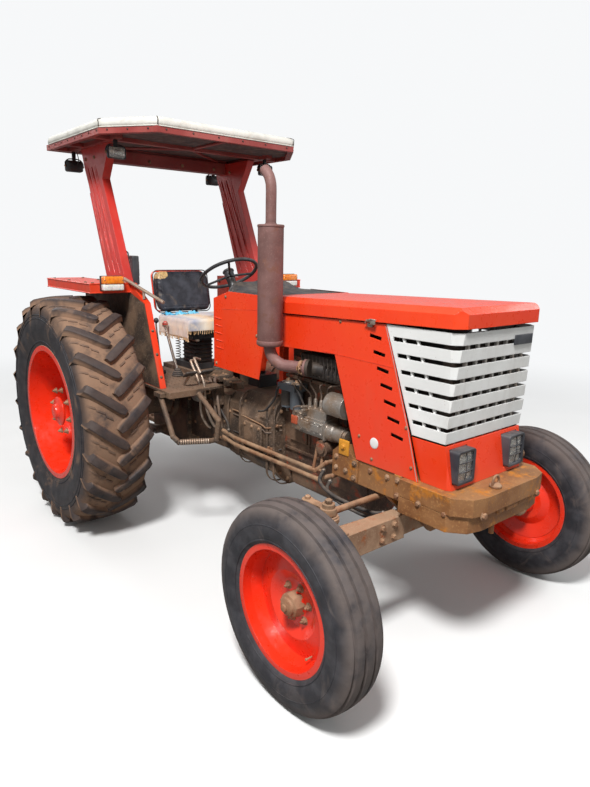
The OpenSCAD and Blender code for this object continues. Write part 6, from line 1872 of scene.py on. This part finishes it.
class TRACTOR_OT_front_end(bpy.types.Operator):
    """Bolts, straps, lumps along the joint and tow loop of the front weights, with the axle's small parts"""

    bl_idname = "tractor.front_end"
    bl_label = "Front end fittings"

    def execute(self, context):
        form = Form()
        weight, rust, beam, ochre, steel = range(5)
        # Wavy joint between the two slabs: rounded lumps and dark hollows along the front
        for y in (-214, 214):
            bolts(form, [(2813, y, 801)], (1, 0, 0), 15, 12, rust)
        for y0, y1, d, h in ((-96, -36, 10, 34), (-30, 60, 16, 30), (70, 150, 12, 26)):
            form.block(weight, (2780, y0, 772), (2800 + d, y1, 772 + h), 9, 9)
        for side in (-1, 1):
            bolts(form, [(2560, side * 338, 801), (2700, side * 334, 801)], (0, side, 0), 11, 9, rust)
            # Straps that tie the slabs to the rail
            form.beside(weight, side, (2388, 299, 760), (2436, 309, 884), 3, 8)
            bolts(form, [(2412, side * 309, 782), (2412, side * 309, 858)], (0, side, 0), 12, 9, rust)
            form.beside(weight, side, (2104, 299, 762), (2150, 308, 878), 3, 8)
            bolts(form, [(2127, side * 308, 782), (2127, side * 308, 858)], (0, side, 0), 12, 9, rust)
            bolts(form, [(1990, side * 300, 800), (2060, side * 300, 800), (1990, side * 300, 860),
                (2230, side * 300, 850), (2340, side * 300, 850)], (0, side, 0), 11, 8, rust)
            form.beside(ochre, side, (2006, 292, 880), (2078, 306, 960), 4, 12)
            bolts(form, [(2042, side * 306, 926)], (0, side, 0), 13, 9, ochre)
        # Tow pin's loop and its washer
        a = np.linspace(-0.6, math.pi + 0.6, 24)
        loop = np.column_stack([np.full(24, 2770.0), -70 + 24 * np.cos(a), 908 + 30 * np.sin(a)])
        form.tube(rust, loop, 6, 10)
        form.lathe(rust, [(24, 0), (28, 3), (28, 10), (22, 16), (12, 20)], 24, (2770, -70, 884.4))
        # Axle: pivot cap, gussets, clamp bolts, stops and grease nipples
        form.lathe(rust, [(52, 0), (56, 4), (56, 16), (44, 24), (16, 28)], 28, (2471, 0, 632), (1, 0, 0))
        for side in (-1, 1):
            for x in (350, 430):
                form.add(*copies(bolt(13, 11, True, (1, 0, 0)), [(2442, side * x, z) for z in (600, 664)]), rust)
            ring, faces = capped([(44, 0), (49, 4), (49, 20), (44, 24)], 28)
            form.add(placed(ring, (2400, side * 735, 562)), faces, beam)
            form.add(placed(ring, (2400, side * 735, 770)), faces, beam)
            form.beside(beam, side, (2362, 640, 686), (2438, 690, 704), 5)
            form.lathe(steel, [(5, 0), (5, 6), (3, 8), (4, 13)], 8, (2400 + 46, side * 735, 610), (1, 0, 0.2))
        form.make("front_end_fittings", "chassis", "weight rust beam ochre link", "rusty_steel")
        for side, name in ((-1, "right"), (1, "left")):
            knuckle = Form()
            knuckle.lathe(0, [(15, 0), (17, 3), (17, 16), (12, 20)], 6, (2400, side * 735, 853))
            knuckle.lathe(0, [(13, 0), (14, 2), (14, 12), (9, 16)], 6, (2400 - 134, side * 735, 830))
            knuckle.lathe(1, [(60, 0), (72, 6), (72, 20), (60, 28)], 32, (2400, side * 790, 448), (0, side, 0))
            knuckle.make(f"knuckle_fittings_{name}", f"knuckle_{name}", "rust beam", "rusty_steel")
        tie = Form()
        for y in (-640, 640):
            tie.lathe(0, [(17, 0), (21, 3), (21, 24), (17, 27)], 8, (2266, y, 726), (0, -1 if y < 0 else 1, 0))
        for y in (-735, 735):
            tie.lathe(1, [(24, 0), (27, 4), (22, 10), (25, 15), (14, 22)], 20, (2266, y, 748), (0, 0, 1))
        tie.make("tie_rod_clamps", "tie_rod", "rust hosing", "rusty_steel")
        return {"FINISHED"}


class TRACTOR_OT_hitch_fittings(bpy.types.Operator):
    """Cover flange and shield of the power take-off, side plates, chains, hose couplings and tail lamps"""

    bl_idname = "tractor.hitch_fittings"
    bl_label = "Hitch fittings"

    def execute(self, context):
        form = Form()
        # Cover flange and shield over the shaft
        form.lathe(0, [(78, 0), (82, 4), (82, 14), (66, 18), (40, 20)], 32, (-262, 0, 640), (-1, 0, 0))
        a = circle(6)
        form.add(*copies(bolt(8, 7, True, (-1, 0, 0)),
            np.stack([np.full(6, -280.0), 70 * np.cos(a), 640 + 70 * np.sin(a)], -1)), 1)
        u, v = np.meshgrid(np.linspace(0, math.pi, 25), np.linspace(0, 1, 7))
        shield = np.stack([-264 - 96 * v, -112 * np.cos(u), 690 + 60 * np.sin(u) - 10 * v], -1)
        form.add(shield, grid(7, 25), 2)
        form.add(shield - (0, 0, 3), grid(7, 25)[:, ::-1], 2)
        for side in (-1, 1):
            form.beside(0, side, (-266, 110, 560), (-256, 196, 880), 3, 20)
            bolts(form, [(-266, side * y, z) for y in (130, 176) for z in (590, 720, 850)], (-1, 0, 0), 10, 8, 1)
            # Hose couplings above the lift shaft
            form.lathe(3, [(12, 0), (16, 2), (16, 24), (12, 26), (14, 30), (14, 44), (9, 46)], 18,
                (-262, side * 120, 930), (-1, 0, 0))
            # Check chain from the housing to the link, made of short loops turned in turn
            start, end = np.array((-110.0, side * 196, 470.0)), np.array((-330.0, side * 252, 462.0))
            for k in range(9):
                p = start + (end - start) * (k + 0.5) / 9 + (0, 0, -16 * math.sin((k + 0.5) / 9 * math.pi))
                t = np.linspace(0, 2 * math.pi, 15)
                across = np.array((0, 0, 1.0)) if k % 2 else np.array((0, 1.0, 0))
                ahead = (end - start) / np.linalg.norm(end - start)
                loop = p + np.outer(15 * np.cos(t), ahead) + np.outer(7 * np.sin(t), across)
                form.tube(1, loop, 3.2, 6, False)
            # Tail lamps on the fenders' rear edge
            form.beside(2, side, (-538, 700, 1602), (-520, 820, 1652), 3, 8)
        hose(form, [(-262, -60, 930), (-330, -70, 940), (-350, -110, 900), (-300, -130, 860), (-262, -130, 850)], 8,
            2, 10, 6, 3)
        form.make("hitch_fittings", "chassis", "casting rust hosing bright", "cast_housing")

        links = Form()
        for side in (-1, 1):
            # Forged thickening near the balls
            s, c = math.sin(math.radians(8)), math.cos(math.radians(8))
            for along in (110, 740):
                p = np.array((-84 - along * c, side * 262, 500 - along * s))
                links.block(0, p - (60, 14, 25), p + (60, 14, 25), 7)
        links.make("link_forgings", "lower_links", "link", "link_steel")

        rear = Form()
        # Tail lamps as a piece of the fenders
        for side in (-1, 1):
            y0, y1 = sorted((side * 706, side * 814))
            rear.block(0, (-539, y0, 1606), (-512, y1, 1648), 5, 8)
        bolts(rear, [(drawn, 0, 434) for drawn in (-700, -560, -300)], (0, 0, 1), 11, 9, 1)
        rear.make("tail_lamps", "chassis", "red_lens rust", "lens")
        return {"FINISHED"}


# ---------- Finishes on the packed solids, stage and view ----------


class TRACTOR_OT_solid_finishes(bpy.types.Operator):
    """Gives every packed solid its finish"""

    bl_idname = "tractor.solid_finishes"
    bl_label = "Finishes of the solids"

    def execute(self, context):
        for name, solid in NODES.items():
            finish = FINISHES[NODE_FINISH[name]]
            if solid.data.materials:
                for k in range(len(solid.data.materials)):
                    solid.data.materials[k] = finish
            else:
                solid.data.materials.append(finish)
        return {"FINISHED"}


class TRACTOR_OT_stage(bpy.types.Operator):
    """Pale floor, soft lamps, even sky and the view"""

    bl_idname = "tractor.stage"
    bl_label = "Stage and view"

    def execute(self, context):
        scene, studio = context.scene, context.scene.tractor_studio
        # Floor: a wide disc whose far part is pale as the sky
        rings = np.concatenate([[0.01], np.linspace(2, 40, 12)])
        points, faces = turned(np.column_stack([rings, np.zeros(13)]), 64)
        mesh = bpy.data.meshes.new("studio_floor")
        mesh.from_pydata(points.tolist(), [], faces.tolist())
        floor = bpy.data.objects.new("studio_floor", mesh)
        scene.collection.objects.link(floor)
        f = Finish("studio_floor", Roughness=0.9)
        seen = f.node("LightPath")
        f.set("Base Color", f.mix(seen.outputs["Is Camera Ray"], (0.30, 0.30, 0.29),
            f.mix(f.step(f.noise(0.8, 2), 0.35, 0.7), (0.80, 0.80, 0.79), (0.83, 0.83, 0.82))))
        # The far part shows as pale as the sky
        away = f.node("VectorMath", operation="LENGTH")
        f.put(away.inputs[0], f.coord.outputs["Object"])
        glow = f.node("Emission")
        glow.inputs["Color"].default_value = (0.93, 0.94, 0.95, 1)
        joined = f.node("MixShader")
        f.put(joined.inputs[0], f.sum("MULTIPLY", f.step(away.outputs["Value"], 2.6, 8.5),
            seen.outputs["Is Camera Ray"]))
        f.tree.links.new(f.shader.outputs["BSDF"], joined.inputs[1])
        f.tree.links.new(glow.outputs["Emission"], joined.inputs[2])
        f.tree.links.new(joined.outputs["Shader"], f.tree.nodes["Material Output"].inputs["Surface"])
        mesh.materials.append(f.material)

        world = bpy.data.worlds.new("studio_sky")
        scene.world = world
        world.use_nodes = True
        tree = world.node_tree
        tree.nodes.clear()
        out, path = tree.nodes.new("ShaderNodeOutputWorld"), tree.nodes.new("ShaderNodeLightPath")
        soft, white = tree.nodes.new("ShaderNodeBackground"), tree.nodes.new("ShaderNodeBackground")
        soft.inputs["Color"].default_value = (0.97, 0.985, 1, 1)
        soft.inputs["Strength"].default_value = studio.sky
        white.inputs["Color"].default_value = (0.93, 0.94, 0.95, 1)
        white.inputs["Strength"].default_value = 1.0
        seen = tree.nodes.new("ShaderNodeMath")
        seen.operation, seen.use_clamp = "ADD", True
        tree.links.new(path.outputs["Is Camera Ray"], seen.inputs[0])
        tree.links.new(path.outputs["Is Transmission Ray"], seen.inputs[1])
        glossy = tree.nodes.new("ShaderNodeMath")
        glossy.operation, glossy.use_clamp = "MULTIPLY_ADD", True
        tree.links.new(path.outputs["Is Glossy Ray"], glossy.inputs[0])
        glossy.inputs[1].default_value = 0.16
        tree.links.new(seen.outputs[0], glossy.inputs[2])
        mixed = tree.nodes.new("ShaderNodeMixShader")
        tree.links.new(glossy.outputs[0], mixed.inputs[0])
        tree.links.new(soft.outputs[0], mixed.inputs[1])
        tree.links.new(white.outputs[0], mixed.inputs[2])
        tree.links.new(mixed.outputs[0], out.inputs["Surface"])

        for name, place, size, power in (
            ("key_lamp", (3.9, -4.4, 8.0), 1.7, studio.key), ("fill_lamp", (3.0, 6.0, 4.0), 4.0, studio.fill), (
                "back_lamp", (-6.0, -1.0, 5.0), 4.0, studio.fill * 0.8),
        ):
            light = bpy.data.lights.new(name, "AREA")
            light.shape, light.size, light.energy = "DISK", size, power
            lamp = bpy.data.objects.new(name, light)
            scene.collection.objects.link(lamp)
            lamp.location = place
            lamp.rotation_euler = (Vector((0.2, 0, 1.1)) - Vector(place)).to_track_quat("-Z", "Y").to_euler()

        yaw, pitch, roll = -0.874424, 0.230578, 0.019551
        ahead = np.array((math.sin(yaw) * math.cos(pitch), math.cos(yaw) * math.cos(pitch), -math.sin(pitch)))
        right = np.array((math.cos(yaw), -math.sin(yaw), 0.0))
        up = np.cross(right, ahead)
        across = math.cos(roll) * right + math.sin(roll) * up
        over = -math.sin(roll) * right + math.cos(roll) * up
        data = bpy.data.cameras.new("view")
        data.lens, data.sensor_width, data.sensor_fit = studio.lens, 36.0, "AUTO"
        camera = bpy.data.objects.new("view", data)
        scene.collection.objects.link(camera)
        place = (4.14265 + AXLE_X, -2.38860, 1.88998)
        camera.matrix_world = Matrix(((across[0], over[0], -ahead[0], place[0]),
            (across[1], over[1], -ahead[1], place[1]), (across[2], over[2], -ahead[2], place[2]), (0, 0, 0, 1)))
        scene.camera = camera
        scene.view_settings.view_transform = "Standard"
        return {"FINISHED"}


OPERATORS = (
    TRACTOR_OT_stage, TRACTOR_OT_solid_finishes, TRACTOR_OT_rear_tyres, TRACTOR_OT_front_tyres,
    TRACTOR_OT_wheel_fittings, TRACTOR_OT_hood_fittings, TRACTOR_OT_grille_fittings, TRACTOR_OT_headlamps,
    TRACTOR_OT_work_lamps, TRACTOR_OT_indicators, TRACTOR_OT_roof, TRACTOR_OT_posts, TRACTOR_OT_fenders,
    TRACTOR_OT_engine_fittings, TRACTOR_OT_gearbox_fittings, TRACTOR_OT_dash_pad, TRACTOR_OT_exhaust_stack,
    TRACTOR_OT_exhaust_fittings, TRACTOR_OT_front_end, TRACTOR_OT_hitch_fittings, TRACTOR_OT_driver,
    TRACTOR_OT_seat, TRACTOR_OT_throw,
)


class TRACTOR_PT_sidebar(bpy.types.Panel):
    """Lists the sizes, colours and pieces"""

    bl_label = "Tractor"
    bl_idname = "TRACTOR_PT_sidebar"
    bl_space_type = "VIEW_3D"
    bl_region_type = "UI"
    bl_category = "Tractor"

    def draw(self, context):
        layout = self.layout
        for key, group in SETTINGS:
            box = layout.box()
            box.label(text=group.__doc__)
            for name in group.__annotations__:
                box.prop(getattr(context.scene, key), name)
        column = layout.column(align=True)
        for operator in OPERATORS:
            column.operator(operator.bl_idname)


CLASSES = tuple(group for _, group in SETTINGS) + OPERATORS + (TRACTOR_PT_sidebar,)


def register():
    for cls in CLASSES:
        bpy.utils.register_class(cls)
    for key, group in SETTINGS:
        setattr(bpy.types.Scene, key, PointerProperty(type=group))


def unregister():
    for key, _ in SETTINGS:
        delattr(bpy.types.Scene, key)
    for cls in reversed(CLASSES):
        bpy.utils.unregister_class(cls)


def main():
    """Makes the finishes and every piece in order."""
    register()
    make_finishes()
    for operator in OPERATORS:
        getattr(bpy.ops.tractor, operator.bl_idname.split(".")[1])()


if __name__ == "__main__":
    main()
